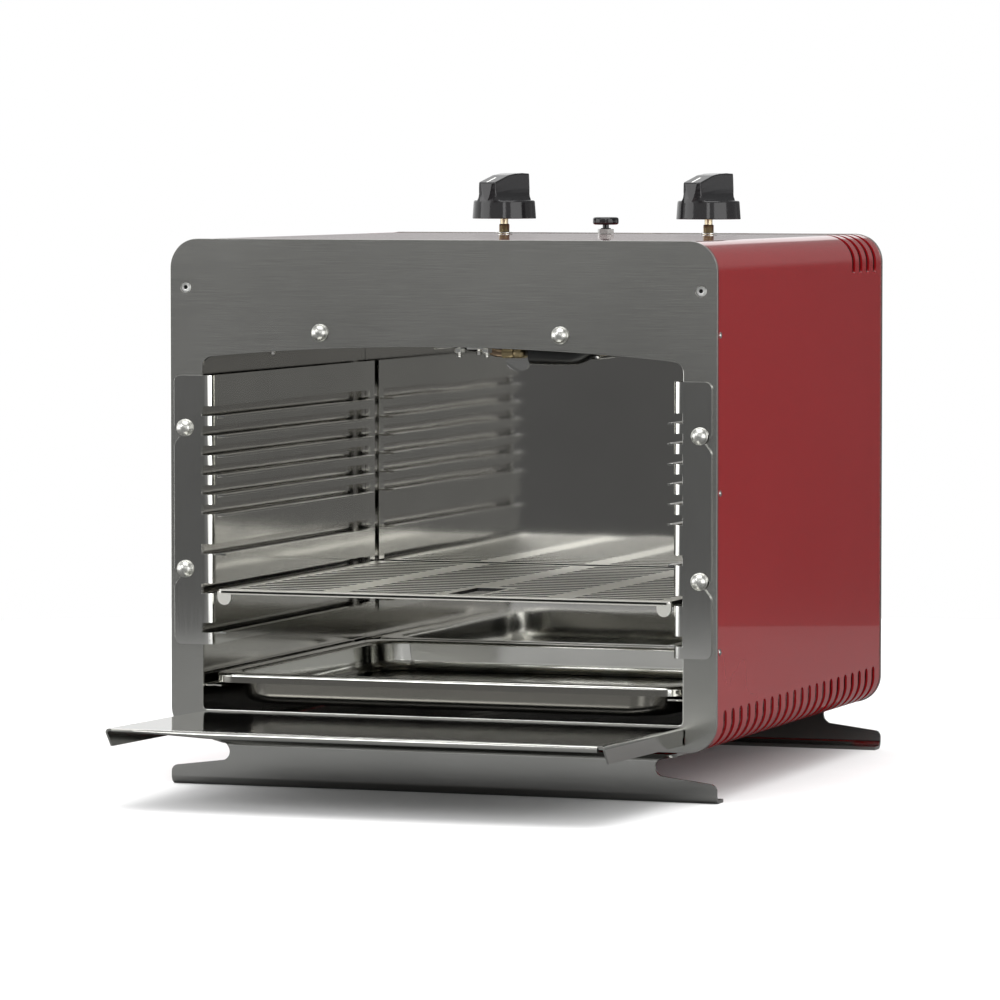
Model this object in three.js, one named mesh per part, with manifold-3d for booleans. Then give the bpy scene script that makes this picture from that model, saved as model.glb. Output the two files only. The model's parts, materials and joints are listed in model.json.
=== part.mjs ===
// Tabletop gas grill with top heat. A stainless front plate with an arched mouth closes a bent,
// powder-coated sheet body. Two rail cages hang in the mouth and carry a slotted grate, a drip pan
// slides on runners below them, and a shelf hooks on under the mouth. Two gas taps and an igniter
// stand on the rear of the top. Millimetres, +Z up, +X to the right, and the mouth faces -Y.
// Inside the code, Y counts from the front plate's front face and Z from its lower edge.
import * as THREE from 'three';
import { mergeGeometries, mergeVertices } from 'three/addons/utils/BufferGeometryUtils.js';
import Module from 'manifold-3d';

const wasm = await Module();
wasm.setup();

// Body
const body_width = 410;
const body_height = 356;
const body_depth = 413;
const body_corner_radius = 21;
const foot_height = 35;
const panel_thickness = 3;
const shell_thickness = 1.5;
const shell_inset = 0.4;
const seat_gap = 0.25;
const overrun = 4;

// Counts of facets
const corner_steps = 5;
const small_corner_steps = 3;
const vent_corner_steps = 2;
const bend_steps = 3;
const round_steps = 12;
const small_round_steps = 10;
const screw_steps = 6;
const dome_steps = 3;
const rivet_steps = 8;
const pan_steps = 4;

// Mouth in the front plate
const mouth_side_margin = 24.7;
const sill_height = 19.4;
const arch_rise = 9;
const crown_below_ceiling = 2.5;
const mouth_corner_radius = 8;
const mouth_sill_radius = 3;
const arch_steps = 10;

// Vent slots of the shell
const vent_count = 21;
const upper_vent_count = 4;
const vent_first = 21.1;
const vent_last = 20.5;
const vent_width = 8;
const vent_reach = 29.2;

// Rear plate
const rear_vent_count = 7;
const rear_vent_margin = 93.6;
const rear_vent_height = 36;
const rear_vent_drop = 48;

// Feet
const foot_thickness = 2.5;
const foot_bend_radius = 5;
const foot_flange = 16;
const foot_top_flange = 28;
const foot_shoulder = 29;
const foot_notch_depth = 45;
const foot_notch_radius = 6.4;
const foot_notch_drop = 10.4;
const foot_arm_step = 4.2;
const foot_arm_corner = 4;

// Rail cages
const cage_thickness = 1.5;
const cage_side_clearance = 7.8;
const cage_bend_radius = 6;
const cage_flange_inset = 3.5;
const cage_above_runner = 29;
const cage_top_drop = 13;
const cage_corner_radius = 5;
const cage_back_clearance = 12;
const rail_top_drop = 29;
const rail_pitch = 14.1;
const rail_steps = [0, 1, 2, 3, 4, 5, 7, 9, 11];
const rail_window_height = 7.1;
const rail_window_overhang = 8;
const rail_window_margin = 6;
const rail_width = 6.2;
const rail_start = 9;
const rail_back_margin = 8;
const rail_bottom_margin = 8;

// Hook slots of the cages, and the dome nuts that hold them
const side_nut_inset = 12;
const side_nut_drops = [50.5, 151.5];
const top_nut_x = 90;
const top_nut_rise = 9.3;
const dome_radius = 6.5;
const dome_height = 5.2;
const dome_rim = 1.2;
const shank_radius = 2.5;
const shank_clearance = 0.4;
const shank_behind = 6;
const hook_drop = 13.5;
const hook_fillet = 2.5;

// Countersunk screws of the front plate
const screw_inset = 12;
const screw_drop = 34.7;
const screw_head_radius = 3.5;
const screw_head_depth = 2.2;
const screw_socket_radius = 1.8;
const screw_socket_depth = 1.4;
const screw_shank_radius = 2;
const screw_behind = 5;

// Cavity liners
const liner_thickness = 1.2;
const liner_side_clearance = 1.7;
const liner_flange = 13;
const liner_foot = 6;
const liner_bend_radius = 2;
const cavity_rear_space = 85;
const ceiling_drop = 73;

// Pan runners and drip pan
const runner_above_sill = 17.6;
const runner_leg = 9;
const runner_ledge = 14;
const runner_front = 4;
const pan_side_clearance = 3.3;
const pan_front = 3;
const pan_back_clearance = 2;
const pan_rim_width = 12.5;
const pan_rim_height = 5;
const pan_rim_roll = 2;
const pan_corner_radius = 18;
const pan_fall = 20;
const pan_wall_slope = 6;
const pan_floor_radius = 7;
const pan_wall = 1.2;

// Grate
const grate_rung_count = 2;
const grate_side_clearance = 2;
const grate_front = 3;
const grate_back_clearance = 7;
const grate_thickness = 2.5;
const grate_lip = 3.3;
const grate_corner_radius = 3;
const grate_column_count = 4;
const grate_slot_pitch = 16;
const grate_slot_width = 9;
const grate_first_slot = 17;
const grate_rib = 20;
const grate_edge = 11;
const grate_tab_width = 10.5;
const grate_tab_drop = 8.5;
const grip_hole_width = 24;
const grip_hole_front = 15;
const grip_hole_depth = 64;
const grip_hole_x = 11;
const grip_hole_margin = 4;

// Front shelf
const shelf_side_overlap = 1.2;
const shelf_reach = 174;
const shelf_thickness = 1.5;
const shelf_below_sill = 1;
const shelf_tilt = 1;
const shelf_flange = 13;
const shelf_bend_radius = 2;
const shelf_lean = 11;
const shelf_hem_radius = 2;
const hook_below_shelf = 12.4;
const hook_tail = 3.5;
const hook_top = 5;
const hook_play = 5.2;

// Taps, knobs and igniter on the top
const tap_x = 82;
const tap_from_back = 48;
const tap_collar_radius = 4.1;
const tap_collar_height = 7.4;
const tap_chamfer = 0.8;
const tap_hole_clearance = 0.7;
const tap_body_radius = 11;
const tap_body_height = 36;
const tap_neck_radius = 6;
const tap_neck_height = 8;
const tap_stem_length = 6.6;
const tap_port_bore = 1.8;
const tap_boss_radius = 5;
const tap_boss_length = 6;
const tap_port_drop = 20;
const ring_radius = 6.2;
const ring_height = 0.9;
const spindle_radius = 3;
const spindle_clearance = 0.35;
const spindle_below = 22;
const push_travel = 3.5;
const push_pin_radius = 2.4;
const push_pin_length = 10;
const knob_lift = 11.2;
const knob_base_radius = 24.4;
const knob_top_radius = 23.3;
const knob_skirt_height = 14;
const knob_height = 34.8;
const knob_wall = 2.5;
const knob_grip_half_width = 8;
const knob_grip_top_half_width = 6.6;
const knob_hub_radius = 6.5;
const knob_rest_angle = -15;
const knob_steps = 24;
const spindle_in_knob = 12;

// Igniter
const igniter_cap_radius = 9.8;
const igniter_cap_height = 5.8;
const igniter_cap_lift = 6.8;
const igniter_stem_radius = 2.4;
const igniter_neck_radius = 4;
const igniter_neck_lift = 4.3;
const igniter_nut_flats = 5.6;
const igniter_nut_height = 3.6;
const igniter_body_radius = 8;
const igniter_body_height = 34;
const igniter_travel = 3;
const igniter_stem_below = 18;

// Burners
const burner_half_gap = 7;
const burner_half_width = 75;
const burner_front = 84;
const burner_back_margin = 60;
const burner_flange = 6;
const burner_height = 34;
const burner_wall = 1.2;
const burner_corner_radius = 8;
const plaque_thickness = 12;
const plaque_clearance = 0.6;
const plaque_lip = 4;
const plaque_groove = 1.6;
const frame_front = 22;
const frame_back_overlap = 17;
const frame_seat_width = 14;
const frame_thickness = 1.5;
const stud_inset = 5.7;
const stud_radius = 1.9;
const stud_rise = 9;
const stud_drop = 10;
const stud_nut_radius = 3.8;
const stud_nut_height = 3;
const spare_stud = [-138, 30];
const mixer_front = 58;
const bay_edge = 14;
const bay_margin = 4;
const mixer_drop = 8;
const mixer_mouth_x = 48;
const mixer_radius = 8;
const mixer_wall = 1;
const mixer_climb_x = 84;
const mixer_feed_offset = 46;
const mixer_rise = 29;
const mixer_bend_radius = 16;
const jet_start = 27;
const jet_radius = 3.75;
const jet_body_length = 8;
const jet_nozzle_length = 9;
const jet_tip_radius = 2.2;
const jet_tip_length = 3;
const bracket_wing = -2;
const bracket_left = 28;
const bracket_right = 46;
const bracket_drop = 20.5;
const bracket_wing_drop = 6;
const bracket_back = 80;
const bracket_thickness = 1.2;
const bracket_stud_xs = [4, 22];
const bracket_stud_y = 71;

// Gas line
const manifold_radius = 6;
const inlet_side_margin = 65;
const inlet_reach = 22;
const inlet_thread_radius = 6.5;
const inlet_hex_radius = 11;
const inlet_hex_length = 9;
const inlet_bore_radius = 3.5;
const inlet_inside = 22;
const manifold_overhang = 12;
const manifold_wall = 1.5;
const port_bore_radius = 2.5;
const pipe_radius = 3;
const pipe_bend_radius = 8;
const pipe_drop = 18;
const pipe_x = 14;
const pipe_turn = 24;
const probe_radius = 1.5;
const probe_x = 72;
const probe_y = 77;
const probe_loop = 20;
const probe_reach = 16;
const probe_drop = 11;
const electrode_radius = 2.3;
const electrode_x = 60;
const electrode_drop = 13;
const electrode_wire_radius = 1;
const electrode_reach = 18;
const electrode_tip_drop = 3;
const lead_rise = 23;

// Rivets of the shell, and the tabs of both plates behind them
const rivet_height_shares = [0.8169, 0.5084, 0.1978];
const rivet_y = 8;
const rivet_head_radius = 2.3;
const rivet_head_height = 1.2;
const rivet_radius = 1.5;
const rivet_tail_radius = 2.2;
const tab_width = 14;
const tab_depth = 13;
const tab_thickness = 1.5;

// Derived places: across the body
const half_width = body_width / 2;
const shell_half_width = half_width - shell_inset;
const mouth_half_width = half_width - mouth_side_margin;
const foot_top_half_width = half_width - foot_shoulder;
const cage_wall_inside = mouth_half_width - cage_side_clearance;
const cage_flange_outer = half_width - cage_flange_inset;
const rail_window_outer = cage_wall_inside + rail_window_overhang;
const side_nut_x = half_width - side_nut_inset;
const screw_x = half_width - screw_inset;
const liner_inside = mouth_half_width + liner_side_clearance;
const runner_inner = liner_inside - runner_ledge;
const pan_half_width = mouth_half_width - pan_side_clearance;
const grate_half_width = cage_wall_inside - grate_side_clearance;
const shelf_half_width = mouth_half_width + shelf_side_overlap;
const frame_half_width = liner_inside + frame_seat_width;
const burner_x = burner_half_width + burner_half_gap;
const mixer_bend_x = burner_x + mixer_feed_offset;
const inlet_x = inlet_side_margin - half_width;
const rear_vent_pitch = (body_width - 2 * rear_vent_margin) / (rear_vent_count - 1);
const wall_middle = cage_wall_inside + cage_thickness / 2;

// Derived places: from front to rear
const shell_front = panel_thickness + seat_gap;
const shell_back = body_depth - panel_thickness - seat_gap;
const vent_pitch = (body_depth - vent_first - vent_last) / (vent_count - 1);
const cavity_back = body_depth - cavity_rear_space;
const cage_depth = cavity_back - cage_back_clearance;
const rail_window_back = cage_depth - rail_window_margin;
const rail_end = cage_depth - rail_back_margin;
const pan_depth = cavity_back - pan_back_clearance - pan_front;
const grate_depth = cavity_back - grate_back_clearance - grate_front;
const grate_row_count = Math.floor((grate_depth - grate_first_slot - grate_edge) / grate_slot_pitch) + 1;
const frame_back = cavity_back + frame_back_overlap;
const burner_back = cavity_back - burner_back_margin;
const burner_middle_y = (burner_front + burner_back) / 2;
const burner_step = burner_flange * 2 - plaque_clearance - burner_wall;
const tap_y = body_depth - tap_from_back;
const flange_middle = -seat_gap - cage_thickness / 2;
const rear_inlet_end = body_depth + inlet_reach;
const middle_y = (rear_inlet_end - shelf_reach) / 2;

// Derived places: upward
const shell_floor = shell_inset + shell_thickness;
const shell_ceiling = body_height - shell_floor;
const shell_top = body_height - shell_inset;
const top_seat = shell_top + seat_gap;
const foot_notch_height = foot_height - foot_notch_drop;
const foot_arm_height = foot_notch_height - foot_notch_radius - foot_arm_step;
const shelf_rear_height = sill_height - shelf_below_sill;
const hook_height = shelf_rear_height - hook_below_shelf;
const runner_height = sill_height + runner_above_sill;
const pan_rim_top = runner_height + seat_gap + pan_rim_height;
const ceiling_height = body_height - ceiling_drop;
const mouth_crown = ceiling_height - crown_below_ceiling;
const mouth_side_top = mouth_crown - arch_rise;
const cage_bottom = runner_height + cage_above_runner;
const cage_top = mouth_side_top - cage_top_drop;
const rail_top = cage_top - rail_top_drop;
const fitting_rails = rail_steps.filter((step) => rail_height(step) > cage_bottom + rail_bottom_margin);
const grate_base = rail_height(fitting_rails.at(-grate_rung_count)) + seat_gap;
const side_nut_heights = side_nut_drops.map((drop) => mouth_side_top - drop);
const top_nut_height = mouth_crown + top_nut_rise;
const screw_height = body_height - screw_drop;
const rivet_heights = rivet_height_shares.map((share) => share * body_height);
const mixer_height = ceiling_height - mixer_drop;
const mixer_end_height = mixer_height + mixer_rise;
const probe_low = ceiling_height - probe_drop;
const electrode_low = ceiling_height - electrode_drop;
const electrode_tip = ceiling_height - electrode_tip_drop;
const lead_top = ceiling_height + lead_rise;
const pipe_height = body_height - pipe_drop;
const tap_body_top = shell_ceiling - seat_gap - tap_neck_height;
const tap_body_low = tap_body_top - tap_body_height;
const manifold_height = tap_body_low - tap_stem_length - seat_gap - manifold_radius;
const knob_base = top_seat + knob_lift;
const spindle_low = shell_top - spindle_below;

// Colours and finishes
const finishes = {
  brushed: [0x8c8c88, 0.38, 1],
  polished: [0x9a9a97, 0.16, 1],
  red: [0x9a1f26, 0.32, 0.1],
  black: [0x141414, 0.22, 0],
  brass: [0xb39a5c, 0.3, 1],
  steel: [0xa3a3a0, 0.3, 1],
  ceramic: [0xd9cdb8, 0.85, 0],
};

const grill = new THREE.Group();
grill.position.set(0, -middle_y, foot_height);

function add(name, geometry, finish) {
  const [color, roughness, metalness] = finishes[finish];
  const material = new THREE.MeshStandardMaterial({ color, roughness, metalness });
  const mesh = new THREE.Mesh(closed(geometry), material);
  mesh.name = name;
  grill.add(mesh);
}

// Points of outlines
function point(x, y) {
  return new THREE.Vector2(x, y);
}

function arc(cx, cy, radius, from_degrees, to_degrees, steps) {
  return Array.from({ length: steps + 1 }, (_, i) => {
    const angle = THREE.MathUtils.degToRad(from_degrees + (to_degrees - from_degrees) * i / steps);
    return point(cx + radius * Math.cos(angle), cy + radius * Math.sin(angle));
  });
}

function circle(cx, cy, radius, steps = small_round_steps) {
  return arc(cx, cy, radius, 0, 360, steps).slice(1);
}

// A round hole whose flats, not its corners, lie at the radius
function round_hole(cx, cy, radius, steps = small_round_steps) {
  return circle(cx, cy, radius / Math.cos(Math.PI / steps), steps);
}

function rounded_box(x0, y0, x1, y1, radius, steps = small_corner_steps) {
  return [
    ...arc(x1 - radius, y0 + radius, radius, -90, 0, steps),
    ...arc(x1 - radius, y1 - radius, radius, 0, 90, steps),
    ...arc(x0 + radius, y1 - radius, radius, 90, 180, steps),
    ...arc(x0 + radius, y0 + radius, radius, 180, 270, steps),
  ];
}

function tongue(x0, x1, low, high, radius) {
  return [
    point(x1, high), point(x0, high),
    ...arc(x0 + radius, low + radius, radius, 180, 270, small_corner_steps),
    ...arc(x1 - radius, low + radius, radius, 270, 360, small_corner_steps),
  ];
}

function box(x0, y0, x1, y1) {
  return [point(x0, y0), point(x1, y0), point(x1, y1), point(x0, y1)];
}

function plate(outline, holes = []) {
  const shape = new THREE.Shape(outline);
  shape.holes = holes.map((hole) => new THREE.Path(hole));
  return shape;
}

// A sheet seen edge on: points run along its middle, and every inner corner is a bend
function bent_strip(corners, radius, thickness, steps = bend_steps) {
  const left = [];
  const right = [];
  const put = (at, direction) => {
    const normal = point(-direction.y, direction.x).multiplyScalar(thickness / 2);
    left.push(at.clone().add(normal));
    right.unshift(at.clone().sub(normal));
  };
  corners.forEach((corner, i) => {
    const before = i > 0 ? corner.clone().sub(corners[i - 1]).normalize() : null;
    const after = i < corners.length - 1 ? corners[i + 1].clone().sub(corner).normalize() : null;
    if (!before || !after) {
      put(corner, before ?? after);
      return;
    }
    const turn = Math.atan2(before.cross(after), before.dot(after));
    const setback = radius * Math.tan(Math.abs(turn) / 2);
    const start = corner.clone().addScaledVector(before, -setback);
    const side = Math.sign(turn);
    const centre = start.clone().add(point(-before.y, before.x).multiplyScalar(side * radius));
    for (let k = 0; k <= steps; k += 1) {
      const angle = turn * k / steps;
      const direction = before.clone().rotateAround(point(0, 0), angle);
      const spoke = point(direction.y, -direction.x).multiplyScalar(side * radius);
      put(centre.clone().add(spoke), direction);
    }
  });
  return new THREE.Shape([...left, ...right]);
}

// Extrusions: a shape drawn in XY, XZ or YZ is carried along the third axis
function along_z(shape, z0, z1) {
  return new THREE.ExtrudeGeometry(shape, { depth: z1 - z0, bevelEnabled: false }).translate(0, 0, z0);
}

function along_y(shape, y0, y1) {
  const geometry = new THREE.ExtrudeGeometry(shape, { depth: y1 - y0, bevelEnabled: false });
  return geometry.rotateX(Math.PI / 2).translate(0, y1, 0);
}

function along_x(shape, x0, x1) {
  const axes = [new THREE.Vector3(0, 1, 0), new THREE.Vector3(0, 0, 1), new THREE.Vector3(1, 0, 0)];
  const geometry = new THREE.ExtrudeGeometry(shape, { depth: x1 - x0, bevelEnabled: false });
  return geometry.applyMatrix4(new THREE.Matrix4().makeBasis(...axes)).translate(x0, 0, 0);
}

// Turned pieces: the profile gives radius and height, from the axis back to the axis
function turned(profile, steps = round_steps) {
  const points = profile.map(([radius, height]) => point(radius, height));
  return new THREE.LatheGeometry(points, steps).rotateX(Math.PI / 2);
}

function turned_along_y(profile, steps = round_steps) {
  return turned(profile, steps).rotateX(Math.PI / 2);
}

function turned_along_x(profile, steps = round_steps) {
  return turned(profile, steps).rotateY(Math.PI / 2);
}

function bore(radius, z0, z1, steps = round_steps) {
  return disc(radius / Math.cos(Math.PI / steps), z0, z1, steps);
}

function disc(radius, z0, z1, steps = round_steps) {
  return turned([[0, z0], [radius, z0], [radius, z1], [0, z1]], steps);
}

// A round bar along straight runs, with an arc at each inner corner
function swept(corners, radius, bend_radius, sides = small_round_steps) {
  const places = corners.map((corner) => new THREE.Vector3(...corner));
  const stations = [];
  places.forEach((corner, i) => {
    const before = i > 0 ? corner.clone().sub(places[i - 1]).normalize() : null;
    const after = i < places.length - 1 ? places[i + 1].clone().sub(corner).normalize() : null;
    if (!before || !after) {
      stations.push([corner, before ?? after]);
      return;
    }
    const turn = before.angleTo(after);
    const inward = after.clone().addScaledVector(before, -before.dot(after)).normalize();
    const start = corner.clone().addScaledVector(before, -bend_radius * Math.tan(turn / 2));
    const centre = start.addScaledVector(inward, bend_radius);
    for (let k = 0; k <= bend_steps; k += 1) {
      const axis = new THREE.Vector3().crossVectors(before, inward);
      const spoke = inward.clone().multiplyScalar(-bend_radius).applyAxisAngle(axis, turn * k / bend_steps);
      stations.push([centre.clone().add(spoke), before.clone().applyAxisAngle(axis, turn * k / bend_steps)]);
    }
  });
  const first = stations[0][1];
  const upright = Math.abs(first.z) < Math.SQRT1_2 ? new THREE.Vector3(0, 0, 1) : new THREE.Vector3(0, 1, 0);
  const across = new THREE.Vector3().crossVectors(first, upright).normalize();
  const rings = stations.map(([centre, direction], i) => {
    const last = stations[Math.max(i - 1, 0)][1];
    across.applyQuaternion(new THREE.Quaternion().setFromUnitVectors(last, direction));
    const spoke = across.clone().multiplyScalar(radius);
    return range(sides).map((j) => spoke.clone().applyAxisAngle(direction, 2 * Math.PI * j / sides).add(centre));
  });
  return lofted(rings);
}

// Rings of equal counts, one after another, closed by a fan at each end
function lofted(rings) {
  const count = rings[0].length;
  const middle = (ring) => ring.reduce((sum, p) => sum.add(p), new THREE.Vector3()).divideScalar(count);
  const vertices = [...rings.flat(), middle(rings[0]), middle(rings.at(-1))];
  const first = vertices.length - 2;
  const index = [];
  for (let j = 0; j < count; j += 1) {
    const next = (j + 1) % count;
    index.push(first, next, j);
    for (let i = 0; i + 1 < rings.length; i += 1) {
      const a = i * count;
      const b = a + count;
      index.push(a + j, a + next, b + next, a + j, b + next, b + j);
    }
    const last = (rings.length - 1) * count;
    index.push(first + 1, last + j, last + next);
  }
  const geometry = new THREE.BufferGeometry().setFromPoints(vertices);
  return geometry.setIndex(index);
}

function ring_at(outline, z) {
  return outline.map((p) => new THREE.Vector3(p.x, p.y, z));
}

// One closed body: shared corners are merged, empty triangles dropped and the faces turned out
function closed(geometry) {
  const bare = geometry.clone();
  bare.deleteAttribute('normal');
  bare.deleteAttribute('uv');
  const merged = mergeVertices(bare);
  const corners = merged.index.array;
  const kept = [];
  for (let i = 0; i < corners.length; i += 3) {
    const [a, b, c] = [corners[i], corners[i + 1], corners[i + 2]];
    if (a !== b && b !== c && c !== a) kept.push(a, b, c);
  }
  merged.setIndex(volume_sign(merged, kept) < 0 ? kept.reverse() : kept);
  merged.computeVertexNormals();
  return merged;
}

function volume_sign(geometry, triangles) {
  const positions = geometry.attributes.position;
  const [a, b, c] = [new THREE.Vector3(), new THREE.Vector3(), new THREE.Vector3()];
  let volume = 0;
  for (let i = 0; i < triangles.length; i += 3) {
    a.fromBufferAttribute(positions, triangles[i]);
    b.fromBufferAttribute(positions, triangles[i + 1]);
    c.fromBufferAttribute(positions, triangles[i + 2]);
    volume += a.dot(b.cross(c));
  }
  return Math.sign(volume);
}

// Joins and cuts
function solid(geometry) {
  const mesh = closed(geometry);
  const vertProperties = new Float32Array(mesh.attributes.position.array);
  const triVerts = new Uint32Array(mesh.index.array);
  return new wasm.Manifold(new wasm.Mesh({ numProp: 3, vertProperties, triVerts }));
}

function geometry_of(body) {
  const mesh = body.getMesh();
  const geometry = new THREE.BufferGeometry();
  geometry.setAttribute('position', new THREE.BufferAttribute(new Float32Array(mesh.vertProperties), 3));
  return geometry.setIndex(Array.from(mesh.triVerts));
}

function join(...geometries) {
  return geometry_of(geometries.map(solid).reduce((sum, next) => sum.add(next)));
}

function cut(geometry, ...tools) {
  return geometry_of(tools.map(solid).reduce((rest, tool) => rest.subtract(tool), solid(geometry)));
}

function common(first, second) {
  return geometry_of(solid(first).intersect(solid(second)));
}

// Separate like solids that share one node
function grouped(geometries) {
  return mergeGeometries(geometries.map(closed));
}

function mirrored(geometry) {
  return geometry.clone().applyMatrix4(new THREE.Matrix4().makeScale(-1, 1, 1));
}

function turned_round(geometry) {
  return geometry.clone().translate(0, -burner_middle_y, 0).rotateZ(Math.PI).translate(0, burner_middle_y, 0);
}

function range(count) {
  return Array.from({ length: count }, (_, i) => i);
}

// Front and rear plates
function body_outline(inset = 0) {
  return rounded_box(-half_width + inset, inset, half_width - inset, body_height - inset,
    body_corner_radius - inset, corner_steps);
}

function mouth_outline() {
  const rise = mouth_crown - mouth_side_top;
  const arch_radius = (mouth_half_width ** 2 + rise ** 2) / (2 * rise);
  const arch_height = (x) => mouth_crown - arch_radius + Math.sqrt(arch_radius ** 2 - x ** 2);
  const shoulder = mouth_half_width - mouth_corner_radius;
  const corner = new THREE.QuadraticBezierCurve(
    point(mouth_half_width, mouth_side_top - mouth_corner_radius),
    point(mouth_half_width, mouth_side_top),
    point(shoulder, arch_height(shoulder)),
  ).getPoints(small_corner_steps);
  const arch = range(arch_steps - 1).map((i) => {
    const x = shoulder - 2 * shoulder * (i + 1) / arch_steps;
    return point(x, arch_height(x));
  });
  const far_corner = corner.map((p) => point(-p.x, p.y)).reverse();
  const low = mouth_sill_radius;
  return [
    ...arc(mouth_half_width - low, sill_height + low, low, -90, 0, small_corner_steps),
    ...corner, ...arch, ...far_corner,
    ...arc(low - mouth_half_width, sill_height + low, low, 180, 270, small_corner_steps),
  ];
}

function shelf_hook_slot(side) {
  const middle = side * (shelf_half_width - shelf_thickness / 2);
  const reach = shelf_thickness / 2 + seat_gap * 2;
  return box(middle - reach, hook_height - seat_gap * 2, middle + reach, hook_height + hook_top + hook_play);
}

function make_front_panel() {
  const stud = shank_radius + shank_clearance;
  const holes = [mouth_outline()];
  for (const side of [-1, 1]) {
    side_nut_heights.forEach((z) => holes.push(round_hole(side * side_nut_x, z, stud)));
    holes.push(round_hole(side * top_nut_x, top_nut_height, stud));
    holes.push(round_hole(side * screw_x, screw_height, screw_head_radius + seat_gap));
  }
  const sheet = along_y(plate(body_outline(), holes), 0, panel_thickness);
  const slots = [-1, 1].map((side) => along_y(plate(shelf_hook_slot(side)), -overrun, panel_thickness + overrun));
  const tabs = make_tabs(panel_thickness, panel_thickness + tab_depth, true);
  add('front_panel', cut(join(sheet, ...tabs), ...slots), 'brushed');
}

// Tabs welded behind a plate, just inside the shell
function make_tabs(y0, y1, drilled) {
  const outer = half_width - shell_floor - seat_gap;
  const tabs = [];
  rivet_heights.forEach((z) => [-1, 1].forEach((side) => {
    const [x0, x1] = [side * outer, side * (outer - tab_thickness)].sort((a, b) => a - b);
    const face = box(y0 - panel_thickness / 2, z - tab_width / 2, y1, z + tab_width / 2);
    const hole = round_hole(rivet_y, z, rivet_radius + seat_gap, screw_steps);
    tabs.push(along_x(plate(face, drilled ? [hole] : []), x0, x1));
  }));
  return tabs;
}

function rear_vents() {
  const top = body_height - rear_vent_drop;
  return range(rear_vent_count).map((i) => {
    const x = (i - (rear_vent_count - 1) / 2) * rear_vent_pitch;
    return rounded_box(x - vent_width / 2, top - rear_vent_height, x + vent_width / 2, top,
      vent_width / 2, vent_corner_steps);
  });
}

function make_rear_panel() {
  const holes = [...rear_vents(), round_hole(inlet_x, manifold_height, inlet_thread_radius + seat_gap)];
  const face = body_depth - panel_thickness;
  const sheet = along_y(plate(body_outline(), holes), face, body_depth);
  const tabs = make_tabs(-tab_depth, 0, false).map((tab) => tab.translate(0, face + panel_thickness / 2, 0));
  add('rear_panel', join(sheet, ...tabs), 'brushed');
}

// Rivets set into the shell, which hold it to the tabs of the front plate
function make_rivets() {
  const tail = -shell_thickness - tab_thickness - seat_gap * 2;
  const profile = [[0, tail - rivet_head_height], [rivet_tail_radius, tail - rivet_head_height],
    [rivet_tail_radius, tail], [rivet_radius, tail], [rivet_radius, 0], [rivet_head_radius, 0],
    [rivet_head_radius / 2, rivet_head_height], [0, rivet_head_height]];
  const rivets = rivet_heights.map((z) => turned_along_x(profile, rivet_steps)
    .translate(shell_half_width, rivet_y, z));
  return [...rivets, ...rivets.map(mirrored)];
}

// Shell: a closed wrap of sheet with vents across its long bends
function vent_tool(y, side, upper) {
  const end = vent_width / 2;
  const foot = upper ? body_height + overrun : -overrun;
  const head = upper ? body_height - vent_reach : vent_reach;
  const [low, high] = [Math.min(foot, head), Math.max(foot, head)];
  const [inner, outer] = [half_width - vent_reach, half_width + overrun];
  const [x0, x1] = side > 0 ? [inner, outer] : [-outer, -inner];
  const seen_from_side = plate(rounded_box(y - end, low, y + end, high, end, vent_corner_steps));
  const seen_from_above = plate(rounded_box(x0, y - end, x1, y + end, end, vent_corner_steps));
  return common(along_x(seen_from_side, x0, x1), along_z(seen_from_above, low, high));
}

function make_shell() {
  const ring = plate(body_outline(shell_inset), [body_outline(shell_inset + shell_thickness)]);
  const tools = [];
  for (const side of [-1, 1]) {
    range(vent_count).forEach((i) => tools.push(vent_tool(vent_first + vent_pitch * i, side, false)));
    range(upper_vent_count).forEach((i) => {
      const station = vent_count - 1 - i;
      tools.push(vent_tool(vent_first + vent_pitch * station, side, true));
    });
    tools.push(bore(tap_collar_radius + tap_hole_clearance, shell_ceiling - overrun,
      shell_top + overrun).translate(side * tap_x, tap_y, 0));
  }
  tools.push(bore(igniter_neck_radius + seat_gap, shell_ceiling - overrun,
    shell_top + overrun).translate(0, tap_y, 0));
  add('outer_shell', join(cut(along_y(ring, shell_front, shell_back), ...tools), ...make_rivets()), 'red');
}

// Feet: an upright sheet with a notch in each end, flanged inward below and above
function notch_tool() {
  const centre_x = half_width - foot_notch_depth + foot_notch_radius;
  const centre_z = foot_notch_height - foot_height;
  const arm_z = foot_arm_height - foot_height;
  const outer = half_width + overrun;
  const outline = [
    point(outer, arm_z - foot_arm_corner),
    ...arc(half_width - foot_arm_corner, arm_z - foot_arm_corner, foot_arm_corner, 0, 90, small_corner_steps),
    ...arc(centre_x, centre_z, foot_notch_radius, 270, 90, corner_steps),
    point(foot_top_half_width, 0),
    point(foot_top_half_width, overrun),
    point(outer, overrun),
  ];
  return along_y(new THREE.Shape(outline), -overrun, foot_top_flange + overrun);
}

function make_foot(name, rear) {
  const middle = foot_thickness / 2;
  const floor = middle - foot_height;
  const roof = -seat_gap - middle;
  const strip = bent_strip([point(foot_flange, floor), point(middle, floor), point(middle, roof),
    point(foot_top_flange, roof)], foot_bend_radius, foot_thickness);
  const blank = along_x(strip, -half_width, half_width);
  const foot = cut(blank, notch_tool(), mirrored(notch_tool()));
  const place = rear ? foot.rotateZ(Math.PI).translate(0, body_depth, 0) : foot;
  add(name, place, 'brushed');
}

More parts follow.
